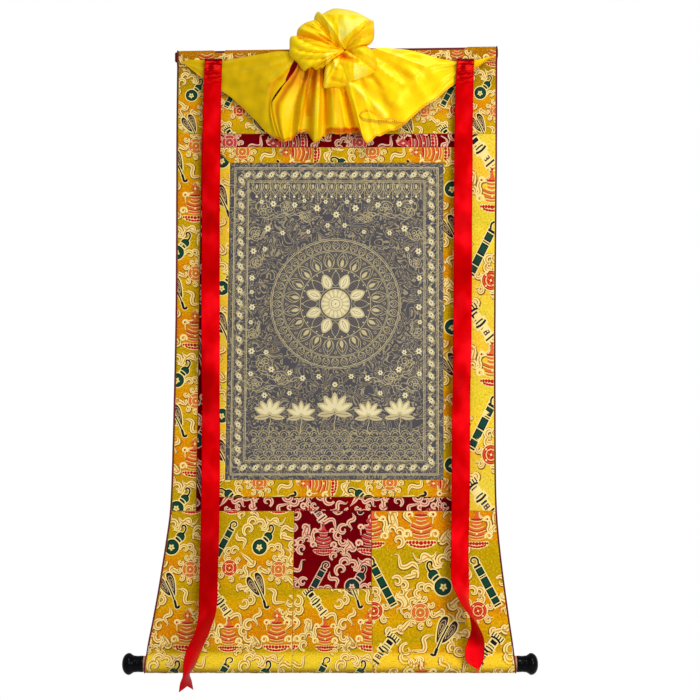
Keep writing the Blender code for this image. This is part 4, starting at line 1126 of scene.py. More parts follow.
# The colours of the threads on yellow and on red, in the order of THREAD_NAMES
YELLOW_THREADS, RED_THREADS = (
    [
        thread_material(f"{cloth}_brocade_{name}", colour(*shade), 0.38)
        for name, shade in zip(THREAD_NAMES, shades_of)
    ]
    for cloth, shades_of in (
        (
            "yellow",
            (
                (246, 220, 138), (196, 130, 30), (122, 76, 12), (2, 62, 42),
                (8, 12, 22), (184, 12, 12), (222, 92, 44), (84, 50, 52),
            ),
        ),
        (
            "red",
            (
                (236, 186, 150), (160, 60, 56), (52, 2, 12), (10, 50, 44),
                (12, 10, 26), (178, 6, 16), (204, 62, 62), (92, 62, 76),
            ),
        ),
    )
)


def lay_brocade(cut, lay, red=False, pale=False):
    """The cloth of a cut of brocade with its woven figures."""
    ground = lay_cut(cut, RED_GROUND if red else PALE_GROUND if pale else YELLOW_GROUND, lay)
    figures = lay_figures(
        cut.name + "_figures",
        cut,
        woven_over(cut, lay, REPEAT),
        RED_THREADS if red else YELLOW_THREADS,
        lay.cloth,
    )
    for piece in (ground, figures):
        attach(piece, "root")
    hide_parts(cut.name)


def frame_cuts(name, outer, inner):
    """Four mitred strips. outer and inner hold seams left and right, top and bottom."""

    def mitre(side, end):
        """The line from an outer corner to the inner one."""
        t = outer[end], inner[end]
        x = seam(outer[side])(t[0]), seam(inner[side])(t[1])
        return lambda at: mix(x[0], x[1], (at - t[0]) / (t[1] - t[0]))

    yield Cut(name + "_top", mitre(0, 2), mitre(1, 2), outer[2], inner[2])
    yield Cut(name + "_bottom", mitre(0, 3), mitre(1, 3), inner[3], outer[3])
    yield Cut(name + "_left", seam(outer[0]), seam(inner[0]), (outer[2], inner[2]), (outer[3], inner[3]))
    yield Cut(name + "_right", seam(inner[1]), seam(outer[1]), (inner[2], outer[2]), (inner[3], outer[3]))


# === Inner frame and red frame =============================================================
# Eight narrow strips of the same brocade, four yellow and four dark red, with mitred corners.
# They are machine sewn round the picture. The strips that lie across are cut the other way
# of the cloth, so their figures lie on their sides.

RED_OUTSIDE = ("red_outer_left", "red_outer_right", TOP_SEAM, SKIRT_SEAM)
RED_INSIDE = ("red_inner_left", "red_inner_right", RED_TOP, RED_BOTTOM)
PICTURE_EDGE = ("picture_left", "picture_right", PICTURE_TOP, PICTURE_BOTTOM)

for cut, lay in zip(
    frame_cuts("inner_frame", RED_INSIDE, PICTURE_EDGE),
    (
        Lay(-0.2620, -0.1480, turned=True),
        Lay(-0.2300, -0.7630, turned=True),
        Lay(-0.2940, -0.1610, scale=0.98),
        Lay(0.1270, -0.2100, scale=1.06),
    ),
):
    # The left strip gets the paler ground, which is painted light
    lay_brocade(cut, lay, pale=cut.name.endswith("left"))
for cut, lay in zip(
    frame_cuts("red_frame", RED_OUTSIDE, RED_INSIDE),
    (
        Lay(-0.2860, -0.1310, turned=True),
        Lay(-0.2740, -0.7360, turned=True),
        Lay(-0.3430, -0.1960),
        Lay(0.2060, -0.1420, scale=1.04),
    ),
):
    lay_brocade(cut, lay, red=True)


# === The yellow mount and its door =========================================================
# A wide cut over the whole top, a strip down each side and three cuts in the skirt, with a
# square dark red door let in between them. The top cut is turned over the batten and hemmed
# behind it; the skirt goes round the roller and is stitched to itself behind.

BINDING_WIDTH = 0.0026
SLIPS = ((-0.2270, -0.2065), (0.0850, 0.2420))  # where the top cut has slipped, from x to x
SLIP_RUN = 0.006  # how far each slip takes to start or end
SKIRT_SEAMS = {"door_left": (-0.0774, -0.0818), "door_right": (0.0653, 0.0675)}


def brocade_end(side):
    """Where the brocade ends beside a binding."""
    inward = (BINDING_WIDTH + SEAM * 1.5) * (1 if side == "left" else -1)
    return lambda t: edge_x(side, height_at(t)) + inward


def skirt_seam(name):
    top, bottom = SKIRT_SEAMS[name]
    return lambda t: mix(top, bottom, (height_at(t) - SKIRT_SEAM) / (ROLLER_HEIGHT - SKIRT_SEAM))


class TopCut(Cut):
    """The cut over the batten. Its upper end is lower where the cloth has slipped."""

    def cloth(self, s, r):
        x = mix(self.left(0.0), self.right(0.0), s)
        slipped = sum(
            ease((x - low) / SLIP_RUN + 0.5) * ease((high - x) / SLIP_RUN + 0.5) for low, high in SLIPS
        )
        t = mix(mix(TOP_END - SEAM, self.top[0], slipped), self.bottom[0], r)
        return mix(self.left(t), self.right(t), s), t


top_cut = TopCut(
    "brocade_top", brocade_end("left"), brocade_end("right"), CLOSURE + OVER_BATTEN[0][5], TOP_SEAM,
)
lay_brocade(top_cut, Lay(-0.3374, -0.0450, scale=0.82))
EDGE_LEFT, EDGE_RIGHT = brocade_end("left"), brocade_end("right")
DOOR_LEFT, DOOR_RIGHT = skirt_seam("door_left"), skirt_seam("door_right")
for name, left, right, top, bottom, lay in (
    ("side_left", EDGE_LEFT, seam("red_outer_left"), TOP_SEAM, SKIRT_SEAM, Lay(-0.3776, -0.0950, scale=0.98)),
    (
        "side_right", seam("red_outer_right"), EDGE_RIGHT, TOP_SEAM, SKIRT_SEAM,
        Lay(0.2530, 0.0065, scale=1.20, stretch=1.115),
    ),
    (
        "skirt_left", EDGE_LEFT, DOOR_LEFT, SKIRT_SEAM, SLEEVE_END,
        Lay(-0.2228, -0.8742, scale=0.985, stretch=1.074, fan=0.15),
    ),
    (
        "skirt_middle", DOOR_LEFT, DOOR_RIGHT, DOOR_BOTTOM, SLEEVE_END,
        Lay(-0.0500, -0.8742, scale=0.96, stretch=1.10),
    ),
    (
        "skirt_right", DOOR_RIGHT, EDGE_RIGHT, SKIRT_SEAM, SLEEVE_END,
        Lay(0.2975, -0.9400, scale=1.18, stretch=1.034, mirror=-1),
    ),
    ("door", DOOR_LEFT, DOOR_RIGHT, SKIRT_SEAM, DOOR_BOTTOM, Lay(-0.0538, -0.7083)),
):
    cut = Cut("brocade_" + name, left, right, top, bottom)
    # The right side strip gets the paler ground, which is painted light
    lay_brocade(cut, lay, red=name == "door", pale=name == "side_right")


# === Lining ================================================================================
# One dark red plain-woven cotton cloth behind everything. It is laid over the batten's back
# and top, where it shows in front wherever the brocade has slipped, and ends over the roller.

LINING_WIDTH, LINING_GAP, LINING_END = 0.605, 0.0008, -1.1100
LINING_FOLD = CLOSURE - 0.0012  # where it leaves the brocade and goes behind the batten
OVER_BATTEN_BACK = folded_line(
    (
        (DEPTH_AT_BATTEN + LINING_GAP, LINING_FOLD), (-0.0032, -0.0285), (-0.0013, -0.0255),
        (-CLOTH, -0.0230), (-CLOTH, -0.0140), (-CLOTH, -0.0046), (-0.0017, -0.0029), (-0.0033, -0.0023),
        (BATTEN_FRONT + 0.0020, -0.0023), (BATTEN_FRONT + 0.0004, -0.0029), (BATTEN_FRONT - SEAM, -0.0046),
        (BATTEN_FRONT - SEAM, -0.0088),
    ),
    outward=-1,
)


def on_lining(s, t, lift=0.0):
    """Points lift in front of the lining's back face, as share s from its left edge."""
    beyond = t - LINING_FOLD
    py, pz, ny, nz = beyond_fold(OVER_BATTEN_BACK, beyond)
    z = np.where(beyond > 0, pz, t)
    x = mix(edge_x("left", z), edge_x("right", z), s)
    y = hang_depth(x, t) + LINING_GAP + CLOTH - lift
    y = np.where(beyond > 0, py + ny * (CLOTH - lift), y)
    z = np.where(beyond > 0, pz + nz * (CLOTH - lift), t) + top_rise(x, t)
    return np.stack((x, y, z), -1)


def wrinkles(x, t):
    """Fine slack wrinkles of a cloth that isn't stretched, 0 to 1."""
    wave = np.sin(61 * x + 9 * np.sin(5.3 * t)) * np.sin(37 * t + 7 * np.sin(4.1 * x + 1.0))
    return 0.5 + 0.3 * wave + 0.2 * np.sin(143 * x + 83 * t + 3 * np.sin(19 * t))


dark_red, tree, surface, uv, weave = cloth_material(
    "dark_red_cotton", 0.0007, 2.0, 0.5, 0.00016, 0.72, Sheen_Weight=0.15
)
shade_cloth(tree, surface, weave, colour(104, 10, 24), 0.22, 0.20)
behind = LINING_FOLD + np.linspace(OVER_BATTEN_BACK[0][-1], 0.0, 36)
down = np.concatenate((behind, np.linspace(LINING_FOLD, LINING_END, 180)[1:]))
s, t = np.meshgrid(shares(LINING_WIDTH, 0.009), down)
near = np.minimum(s, 1 - s) * LINING_WIDTH
sink = 0.00040 * np.clip(1 - near / TURN, 0, 1) ** 2 + 0.00030 * wrinkles(s, t) * (t < CLOSURE - 0.01)
flat = np.stack((s * LINING_WIDTH, -t), -1)
lining = closed_sheet("lining_cloth", on_lining(s, t, CLOTH), on_lining(s, t, sink), flat, dark_red)
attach(lining, "root")
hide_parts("lining")


# === Edge bindings =========================================================================
# A narrow strip of the dark red cotton folded over each side edge of the whole cloth, over
# the batten, down and round the roller, and run down with a line of stitches.


def stitch_group():
    """Sews thread along the paths: one rounded, slightly uneven stitch at every pitch."""
    group = bpy.data.node_groups.new("running_stitch", "GeometryNodeTree")
    sockets = {"Paths": "Geometry", "Pitch": "Float", "Length": "Float", "Thickness": "Float"}
    for label, kind in {**sockets, "Thread": "Material"}.items():
        group.interface.new_socket(label, in_out="INPUT", socket_type="NodeSocket" + kind)
    group.interface.new_socket("Stitches", in_out="OUTPUT", socket_type="NodeSocketGeometry")
    given, out = group.nodes.new("NodeGroupInput"), group.nodes.new("NodeGroupOutput")

    def add(kind, settings, inputs):
        return add_node(group, kind, settings, inputs).outputs[0]

    pitch, length, thickness = (given.outputs[label] for label in ("Pitch", "Length", "Thickness"))
    paths = add("GeometryNodeMeshToCurve", {}, {"Mesh": given.outputs["Paths"]})
    spots = add("GeometryNodeResampleCurve", {"mode": "LENGTH"}, {"Curve": paths, "Length": pitch})
    bead = add("GeometryNodeMeshUVSphere", {}, {"Segments": 6, "Rings": 4, "Radius": 0.5})
    size = add("ShaderNodeCombineXYZ", {}, {0: length, 1: thickness, 2: thickness})
    tangent = add("GeometryNodeInputTangent", {}, {})
    along = add("FunctionNodeAlignRotationToVector", {"axis": "X"}, {"Vector": tangent})
    limits = {0: (-0.15,) * 3, 1: (0.15,) * 3, "Seed": 7}
    uneven = add("FunctionNodeRandomValue", {"data_type": "FLOAT_VECTOR"}, limits)
    slant = add("FunctionNodeEulerToRotation", {}, {0: uneven})
    turned = add("FunctionNodeRotateRotation", {}, {0: along, 1: slant})
    beads = {"Points": spots, "Instance": bead, "Rotation": turned, "Scale": size}
    real = add("GeometryNodeRealizeInstances", {}, {0: add("GeometryNodeInstanceOnPoints", {}, beads)})
    coloured = add("GeometryNodeSetMaterial", {}, {0: real, "Material": given.outputs["Thread"]})
    group.links.new(coloured, out.inputs[0])
    return group


STITCHES = stitch_group()


def sew(name, lines, shade, pitch=0.0045, length=0.0029, thickness=0.0008):
    """Running stitches along lines of points, in a twisted thread of the given shade."""
    thread, tree, surface = new_material(name + "_thread", Roughness=0.5, Specular_IOR_Level=0.2)
    ply = noise(tree, object_place(tree), 2400.0, 2.0)
    shade = blend(tree, ply, colour(*(0.6 * part for part in shade)), colour(*shade))
    tree.links.new(shade, surface.inputs["Base Color"])
    starts = np.cumsum([0] + [len(line) for line in lines])
    edges = [(k, k + 1) for a, b in zip(starts, starts[1:]) for k in range(a, b - 1)]
    path = bpy.data.meshes.new(name + "_path")
    path.from_pydata(np.concatenate(lines).tolist(), edges, [])
    path = add_object(path.name, path)
    sewing = path.modifiers.new("Sewing", "NODES")
    sewing.node_group = STITCHES
    values = {"Pitch": pitch, "Length": length, "Thickness": thickness, "Thread": thread}
    for socket in STITCHES.interface.items_tree:
        if socket.name in values:
            sewing[socket.identifier] = values[socket.name]
    graph = bpy.context.evaluated_depsgraph_get()
    made = add_object(name, bpy.data.meshes.new_from_object(path.evaluated_get(graph)))
    bpy.data.objects.remove(path)
    made.data.shade_smooth()
    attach(made, "root")
    return made


for side in ("left", "right"):
    s, t = np.meshgrid(np.linspace(0.0, 1.0, 9), np.arange(TOP_END - SEAM, SLEEVE_END, -0.0035))
    across = BINDING_WIDTH * (s if side == "left" else s - 1)
    x = edge_x(side, height_at(t)) + across
    round_over = np.sqrt(np.clip(1 - (2 * s - 1) ** 4, 0.0, 1.0))
    pucker = 0.00012 * np.sin(t / 0.0035 * 2.1) * np.sin(t * 57)
    front = on_cloth(x, t, mix(-0.0007, 0.0006 + pucker, round_over))
    flat = np.stack((across, -t), -1)
    binding = closed_sheet(f"binding_{side}_cloth", front, on_cloth(x, t, -CLOTH), flat, dark_red)
    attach(binding, "root")
    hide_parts(f"binding_{side}")
    middle = np.arange(TOP_END - 0.003, SLEEVE_END + 0.003, -0.004)
    inward = 0.0014 if side == "left" else -0.0014
    line = on_cloth(edge_x(side, height_at(middle)) + inward, middle, 0.0007)
    stitches = sew(f"binding_{side}_stitches", [line], (150, 18, 30))


# === Batten ================================================================================
# A flat pine lath in a sewn cover of the same dark red cotton, slipped between brocade and
# lining. The cover is folded in at its two ends, which stand a little out of the brocade.

BATTEN_LEFT, BATTEN_RIGHT = -0.2995, 0.3013
BATTEN_SIZE = (0.0080, 0.0190)  # thick, high
BATTEN_BACK = -CLOTH - SEAM


def ring_faces(rings, count):
    """Quads over rings of count points each."""
    at = np.arange(rings * count).reshape(rings, count)
    return grid_faces(np.concatenate((at, at[:, :1]), 1))[:, (0, 3, 2, 1)]


def rounded_section(thick, high, radius, count):
    """A rectangle with round corners: (across, up) points round its middle."""
    corners = []
    for k, (a, b) in enumerate(((1, 1), (-1, 1), (-1, -1), (1, -1))):
        turn = np.linspace(k, k + 1, count) * math.pi / 2
        middle = a * (thick / 2 - radius) + 1j * b * (high / 2 - radius)
        corners.append(middle + radius * np.exp(1j * turn))
    return np.concatenate(corners)


section = rounded_section(*BATTEN_SIZE, 0.0026, 6)
count, batten_length = len(section), BATTEN_RIGHT - BATTEN_LEFT
reach = np.concatenate(([0.0, 0.0006, 0.0016, 0.0030], np.linspace(0.006, 0.5948, 98)))
reach = np.concatenate((reach, batten_length - reach[3::-1]))
rings = []
for at in reach:
    end = min(at, batten_length - at)
    round_in = 1 - 0.18 * (1 - min(end / 0.003, 1.0)) ** 2
    crumple = np.sin(np.angle(section) * 5 + at * 160) ** 2 * (0.4 + 2 * math.exp(-end / 0.02))
    ring = section * round_in * (1 - 0.02 * crumple)
    rings.append(np.stack((np.full(count, at), ring.real, ring.imag), -1))
for inner in (0.72, 0.40, 0.05):  # the cover's folded ends
    fold = 0.0004 * np.abs(np.sin(np.angle(section) * 2)) * inner
    first, last = rings[0].copy(), rings[-1].copy()
    first[:, 0], last[:, 0] = fold, reach[-1] - fold
    for ring in (first, last):
        ring[:, 1:] *= inner
    rings = [first, *rings, last]
flat = np.concatenate(rings)
placed = flat + (BATTEN_LEFT, BATTEN_BACK - BATTEN_SIZE[0] / 2, BATTEN_TOP - BATTEN_SIZE[1] / 2)
placed[:, 2] += TOP_SLOPE * placed[:, 0]
round_it = np.tile(np.arange(count) / count * 0.048, len(rings))
unrolled = np.stack((flat[:, 0], round_it), -1)
batten = new_piece("batten_cover", placed, ring_faces(len(rings), count)[:, ::-1], dark_red, unrolled)
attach(batten, "root")
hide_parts("top_batten")


# === Roller ================================================================================
# A plain turned pine rod, 30 mm thick, pushed through the skirt's sleeve. Its two ends show
# between the cloth and the knobs.

ROLLER_LEFT, ROLLER_RIGHT = -0.3564, 0.3347


def turned_piece(name, profile, x, outward, finish, steps=64):
    """A lathe-turned piece on the roller's axis. profile is (distance outwards, radius)."""
    profile = np.array(profile)
    turn = np.linspace(0.0, math.tau, steps, endpoint=False)
    points = np.stack((
        np.repeat(x + outward * profile[:, 0], steps),
        ROLLER_DEPTH + np.outer(profile[:, 1], np.sin(turn)).ravel(),
        ROLLER_HEIGHT + np.outer(profile[:, 1], np.cos(turn)).ravel(),
    ), -1)
    made = new_piece(name, points, ring_faces(len(profile), steps)[:, ::-outward], finish)
    shape = bmesh.new()
    shape.from_mesh(made.data)
    for end, merged in ((0, slice(None, steps)), (-1, slice(-steps, None))):
        shape.verts.ensure_lookup_table()
        middle = (x + outward * profile[end, 0], ROLLER_DEPTH, ROLLER_HEIGHT)
        bmesh.ops.pointmerge(shape, verts=list(shape.verts)[merged], merge_co=middle)
    bmesh.ops.recalc_face_normals(shape, faces=shape.faces)
    shape.to_mesh(made.data)
    shape.free()
    made.data.shade_smooth()
    made.data.set_sharp_from_angle(angle=math.radians(40))
    return made


pine, tree, surface = new_material("pine_wood", Roughness=0.55)
moved = {"Vector": object_place(tree), "Scale": (3.0, 60.0, 60.0)}
grain = noise(tree, add_node(tree, "ShaderNodeMapping", {}, moved).outputs[0], 4.0, 5.0)
year_rings = sums(tree, "FRACT", sums(tree, "MULTIPLY", grain, 9.0))
shade = ((0.0, colour(196, 150, 116)), (0.7, colour(170, 118, 84)), (1.0, colour(128, 78, 54)))
tree.links.new(ramp(tree, year_rings, shade), surface.inputs["Base Color"])
relief(tree, surface, 0.4, 0.0002, grain)

length = ROLLER_RIGHT - ROLLER_LEFT
rod = [(0.0, 0.00001), (0.0, 0.007), (0.0, 0.0142), (0.0006, 0.0148), (0.0016, ROLLER_RADIUS)]
rod += [(at, ROLLER_RADIUS) for at in np.linspace(0.01, length - 0.01, 60)]
rod += [(length - a, r) for a, r in rod[4::-1]]
roller = turned_piece("roller_rod", rod, ROLLER_LEFT, 1, pine)
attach(roller, "root")
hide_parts("bottom_roller")

# The sleeve round the roller is closed with a line of stitches behind
ends = (edge_x("left", ROLLER_HEIGHT) + 0.006, edge_x("right", ROLLER_HEIGHT) - 0.006)
across = np.linspace(*ends, 200)
for number, along in enumerate((0.0022, 0.0052)):
    line = on_cloth(across, np.full(200, SLEEVE_END + along), 0.0002)
    sew(f"sleeve_stitches_{number}", [line], (196, 140, 40), pitch=0.0052)


# === Knobs =================================================================================
# Two turned hardwood knobs, glued on the roller's ends. Each has a neck with two fine turned
# lines and a round head, and is lacquered glossy black.

KNOB_PROFILE = (
    (0.0000, 0.0146), (0.0020, 0.0152), (0.0060, 0.0150), (0.0120, 0.0149), (0.0165, 0.0153),
    (0.0195, 0.0163), (0.0222, 0.0181), (0.0245, 0.0196), (0.0268, 0.0201), (0.0292, 0.0198),
    (0.0318, 0.0186), (0.0345, 0.0164), (0.0368, 0.0132), (0.0384, 0.0092), (0.0393, 0.0047),
    (0.0396, 0.00001),
)
lacquer, tree, surface = new_material(
    "black_lacquer_gloss", Specular_IOR_Level=0.05, Coat_Weight=0.05, Coat_Roughness=0.08
)
at = object_place(tree)
dust = noise(tree, at, 90.0, 6.0, Roughness=0.7)
shade = ramp(tree, dust, ((0.35, colour(2, 2, 4)), (0.62, colour(5, 6, 9)), (0.80, colour(14, 15, 20))))
tree.links.new(shade, surface.inputs["Base Color"])
tree.links.new(sums(tree, "MULTIPLY_ADD", dust, 0.30, 0.12), surface.inputs["Roughness"])
lathe_lines = sums(tree, "SINE", sums(tree, "MULTIPLY", split(tree, at)[0], 7200.0))
relief(tree, surface, 0.25, 0.00004, lathe_lines)

distance, radius = np.array(KNOB_PROFILE).T
fine = np.unique(np.concatenate((np.linspace(0, 15, 61), np.linspace(2.2, 3.6, 15))))
outwards, around = (smooth_at(np.arange(16), values, fine) for values in (distance, radius))
for groove in (0.0085, 0.0105, 0.0180):
    around = around - 0.0005 * np.exp(-(((outwards - groove) / 0.00035) ** 2))
profile = [(0.0, 0.00001), (0.0, 0.008), *zip(outwards, np.maximum(around, 0.00001))]
for side, x, outward in (("left", ROLLER_LEFT, -1), ("right", ROLLER_RIGHT, 1)):
    knob = turned_piece(f"knob_{side}_turned", profile, x + outward * SEAM, outward, lacquer, 72)
    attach(knob, "root")
    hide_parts(f"knob_{side}")


# === Streamers =============================================================================
# Two lengths of bright red satin ribbon, 34 mm wide, tacked to the top edge in front of the
# veil. They hang free, ripple, and turn over near their ends. The left one is cut with a
# swallow tail, the right one is folded to a point.

RIBBON = 0.0004  # thickness
# Height, x, y, turn in degrees, cupping and width down each ribbon
LEFT_STREAMER = (
    (-0.0206, -0.2270, -0.0182, 0, 0.0000, 0.0325), (-0.0974, -0.2293, -0.0215, 3, 0.0006, 0.0335),
    (-0.2462, -0.2309, -0.0237, -5, 0.0010, 0.0340), (-0.4685, -0.2319, -0.0272, 4, 0.0008, 0.0340),
    (-0.6902, -0.2309, -0.0307, -6, 0.0012, 0.0340), (-0.8748, -0.2320, -0.0337, 5, 0.0010, 0.0340),
    (-0.9945, -0.2349, -0.0367, 4, 0.0014, 0.0340), (-1.0329, -0.2356, -0.0387, 14, 0.0022, 0.0340),
    (-1.0581, -0.2386, -0.0417, 26, 0.0030, 0.0340), (-1.0832, -0.2470, -0.0457, 34, 0.0035, 0.0340),
    (-1.1083, -0.2590, -0.0492, 32, 0.0035, 0.0340), (-1.1336, -0.2678, -0.0512, 42, 0.0035, 0.0335),
    (-1.1474, -0.2723, -0.0512, 54, 0.0040, 0.0330), (-1.1565, -0.2762, -0.0502, 66, 0.0045, 0.0330),
    (-1.1677, -0.2766, -0.0487, 54, 0.0035, 0.0330), (-1.1788, -0.2763, -0.0472, 42, 0.0025, 0.0330),
)
RIGHT_STREAMER = (
    (-0.0211, 0.2399, -0.0182, 0, 0.0000, 0.0320), (-0.0974, 0.2374, -0.0215, -4, 0.0006, 0.0335),
    (-0.2462, 0.2354, -0.0237, 4, 0.0010, 0.0340), (-0.4685, 0.2343, -0.0272, -5, 0.0008, 0.0340),
    (-0.6902, 0.2312, -0.0307, 5, 0.0012, 0.0335), (-0.8014, 0.2305, -0.0324, -3, 0.0010, 0.0335),
    (-0.9114, 0.2288, -0.0347, 5, 0.0012, 0.0335), (-0.9815, 0.2291, -0.0377, 20, 0.0024, 0.0335),
    (-1.0069, 0.2328, -0.0402, 46, 0.0040, 0.0335), (-1.0255, 0.2369, -0.0417, 66, 0.0050, 0.0330),
    (-1.0442, 0.2428, -0.0422, 90, 0.0055, 0.0330), (-1.0620, 0.2513, -0.0422, 110, 0.0055, 0.0330),
    (-1.0808, 0.2572, -0.0427, 126, 0.0050, 0.0330), (-1.0963, 0.2568, -0.0442, 144, 0.0045, 0.0335),
    (-1.1120, 0.2552, -0.0452, 166, 0.0040, 0.0345), (-1.1249, 0.2549, -0.0447, 178, 0.0035, 0.0350),
    (-1.1359, 0.2566, -0.0442, 180, 0.0030, 0.0270), (-1.1439, 0.2601, -0.0437, 180, 0.0015, 0.0110),
    (-1.1474, 0.2615, -0.0437, 180, 0.0000, 0.0030),
)


def join_pieces(pieces):
    """Makes the others part of the first piece."""
    with bpy.context.temp_override(
        active_object=pieces[0], object=pieces[0], selected_objects=pieces, selected_editable_objects=pieces
    ):
        bpy.ops.object.join()


def sheet_normals(grid):
    """Unit normals of a grid of points, on the side from which its rows run down."""
    normal = np.cross(np.gradient(grid, axis=1), np.gradient(grid, axis=0))
    return normal / np.maximum(np.linalg.norm(normal, axis=-1, keepdims=True), 1e-12)


def running_length(points):
    """The distance of each point from the first along a line."""
    return np.concatenate(([0.0], np.cumsum(np.linalg.norm(np.diff(points, axis=0), axis=-1))))


def lay_ribbon(name, table, ripples, tail, folded):
    """A ribbon hung as table says, with a tail cut tail deep and its top end folded over."""
    table = np.array(table)
    places = np.arange(len(table))
    steps = np.linspace(0, len(table) - 1, 420)
    height, x, y, turn, cup, width = (smooth_at(places, column, steps)[:, None] for column in table.T)
    turn = np.radians(turn)
    u = np.concatenate(([-1.0, -0.97, -0.93], np.linspace(-0.88, 0.88, 11), [0.93, 0.97, 1.0]))[None, :]
    at_tail = ease((steps[:, None] - (len(table) - 1) + 0.8) / 0.8)
    height = height + at_tail * tail * (0.15 - abs(u))
    hung = ease((-0.05 - height) / 0.10)
    ripple = sum(
        size * np.sin(height / length * math.tau + across * u + phase)
        for size, length, across, phase in ripples
    )
    ripple = ripple * hung + 0.0007 * (1 - hung) * (1 - abs(2 * ((9 * u - 300 * height) / 9 % 1) - 1))
    outward = cup * (1 - u**2) + ripple
    x = x + np.cos(turn) * u * width / 2 + np.sin(turn) * outward
    y = y + np.sin(turn) * u * width / 2 - np.cos(turn) * outward
    face = np.stack(np.broadcast_arrays(x, y, height), -1)
    along = running_length(face[:, 8])
    uv = np.stack(np.broadcast_arrays(u * 0.017, along[:, None]), -1)
    made = closed_sheet(name + "_ribbon", face, face - sheet_normals(face) * RIBBON, uv, satin)
    # The top end, folded over in front and tacked down
    rows = int(np.searchsorted(-height[:, 0], folded - height[0, 0]))
    over = face[:rows].copy()
    bend = np.linspace(0.0, 1.0, rows)[:, None]
    crease = 1 - abs(2 * ((1.3 * u[0] + 2.1 * bend + 0.2 * np.sin(5 * u[0])) % 1) - 1)
    creased = 0.0016 * crease * ease(bend / 0.2) * ease((1 - bend) / 0.2)
    over[..., 1] -= RIBBON + 0.0008 * np.sin(math.pi * bend) ** 0.5 + creased
    over[..., 0] += 0.0006 * np.sin(9 * bend)
    end = closed_sheet(name + "_end", over, over + (0.0, RIBBON, 0.0), uv[:rows], satin)
    join_pieces([made, end])
    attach(made, "root")
    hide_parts(name)


satin, tree, surface, uv, weave = cloth_material(
    "red_ribbon_satin", 0.0003, 9.0, 0.37, 0.00006, 0.30,
    Anisotropic=0.5, Specular_IOR_Level=0.6, Specular_Tint=colour(255, 20, 40),
)
across, down = split(tree, uv)[:2]
selvedge = sums(tree, "GREATER_THAN", sums(tree, "ABSOLUTE", across), 0.0157)
# Painted light and shade: soft streaks of darker and brighter red along the ribbon
drawn_out = add_node(tree, "ShaderNodeMapping", {}, {"Vector": uv, "Scale": (20.0, 14.0, 1.0)}).outputs[0]
reds = ((0.34, colour(176, 0, 0)), (0.50, colour(206, 0, 3)), (0.64, colour(238, 8, 18)))
shade = ramp(tree, noise(tree, drawn_out, 1.0, 2.0), reds)
# The folded top ends are creased: painted highlights on the ridges and painted shade in the hollows across
# the ribbon
slanted = {"Vector": uv, "Rotation": (0.0, 0.0, 0.6), "Scale": (60.0, 190.0, 1.0)}
creases = noise(tree, add_node(tree, "ShaderNodeMapping", {}, slanted).outputs[0], 1.0, 2.0)
reds = (
    (0.40, colour(120, 0, 6)), (0.50, colour(190, 0, 4)),
    (0.58, colour(255, 40, 26)), (0.66, colour(225, 4, 14)),
)
creases = ramp(tree, creases, reds)
painted_creases_near_top = between(tree, down, 0.055, 0.012)
shade = blend(tree, painted_creases_near_top, shade, creases)
# Painted shade on the left ribbon's lower end, as if it were turned from the light
to_left = sums(tree, "LESS_THAN", split(tree, object_place(tree))[0], 0.0)
painted_lower_shade = between(tree, down, 0.80, 0.92, 0.6)
shade = blend(tree, sums(tree, "MULTIPLY", to_left, painted_lower_shade), shade, colour(140, 0, 0))
# Painted shade along the top edge, under the folded-over end
shade = blend(tree, sums(tree, "LESS_THAN", down, 0.0045), shade, colour(112, 0, 8))
shade_cloth(tree, surface, weave, blend(tree, selvedge, shade, colour(160, 0, 6)), 0.14, 0.08)
# Each ripple is its height, length, lean across the ribbon and phase
ripples = (0.0030, 0.31, 0.9, 0.4), (0.0009, 0.113, -1.6, 2.0), (0.0003, 0.051, 2.4, 1.0)
lay_ribbon("streamer_left", LEFT_STREAMER, ripples, tail=0.0095, folded=0.006)
ripples = (0.0030, 0.27, -0.9, 1.4), (0.0009, 0.097, 1.8, 0.2), (0.0003, 0.057, -2.2, 3.0)
lay_ribbon("streamer_right", RIGHT_STREAMER, ripples, tail=0.0, folded=0.046)


# === Tape ==================================================================================
# A dark red cotton tape that ties the veil up to the batten. It shows in the slit beside the
# pleats.

TAPE_DEPTH = SLEEVE_FRONT - CLOTH - 0.0004
s, v = np.meshgrid(np.linspace(-1.0, 1.0, 13), np.linspace(0.0, 1.0, 40))
x = mix(-0.0690, -0.1205, v) + s * 0.0065
z = mix(-0.0225, -0.1045, v)
bow = 0.0030 * np.sin(math.pi * v)
face = np.stack((x, TAPE_DEPTH - CLOTH - bow + 0.0003 * s**2 + 0.0002 * np.sin(v * 40) ** 2, z), -1)
back = np.stack((x, TAPE_DEPTH - bow, z), -1)
crimson, tree, surface, uv, weave = cloth_material("crimson_tape", 0.0006, 2.0, 0.5, 0.00014, 0.6)
# Painted light: the tape's colour is much lighter than dark red cotton, to offset the shade in the slit
shade_cloth(tree, surface, weave, colour(215, 3, 44), 0.20, 0.10)
tape = closed_sheet("veil_tape_cloth", face, back, np.stack((s * 0.0065, v * 0.094), -1), crimson)
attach(tape, "root")
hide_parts("veil_tape")


# === Veil ==================================================================================
# One sheet of thin yellow silk with a narrow orange hem. It is tied up in the middle, so that
# it hangs in two swags with pleats between them, and its gathered top is teased out into a
# rosette of puffs that all start at the knot. Tacks along the top edge hold it.

SILK, HEM = 0.0004, 0.0030  # thickness of the silk, width of its orange hem
VEIL_DEPTH = SLEEVE_FRONT - CLOTH - 0.00105
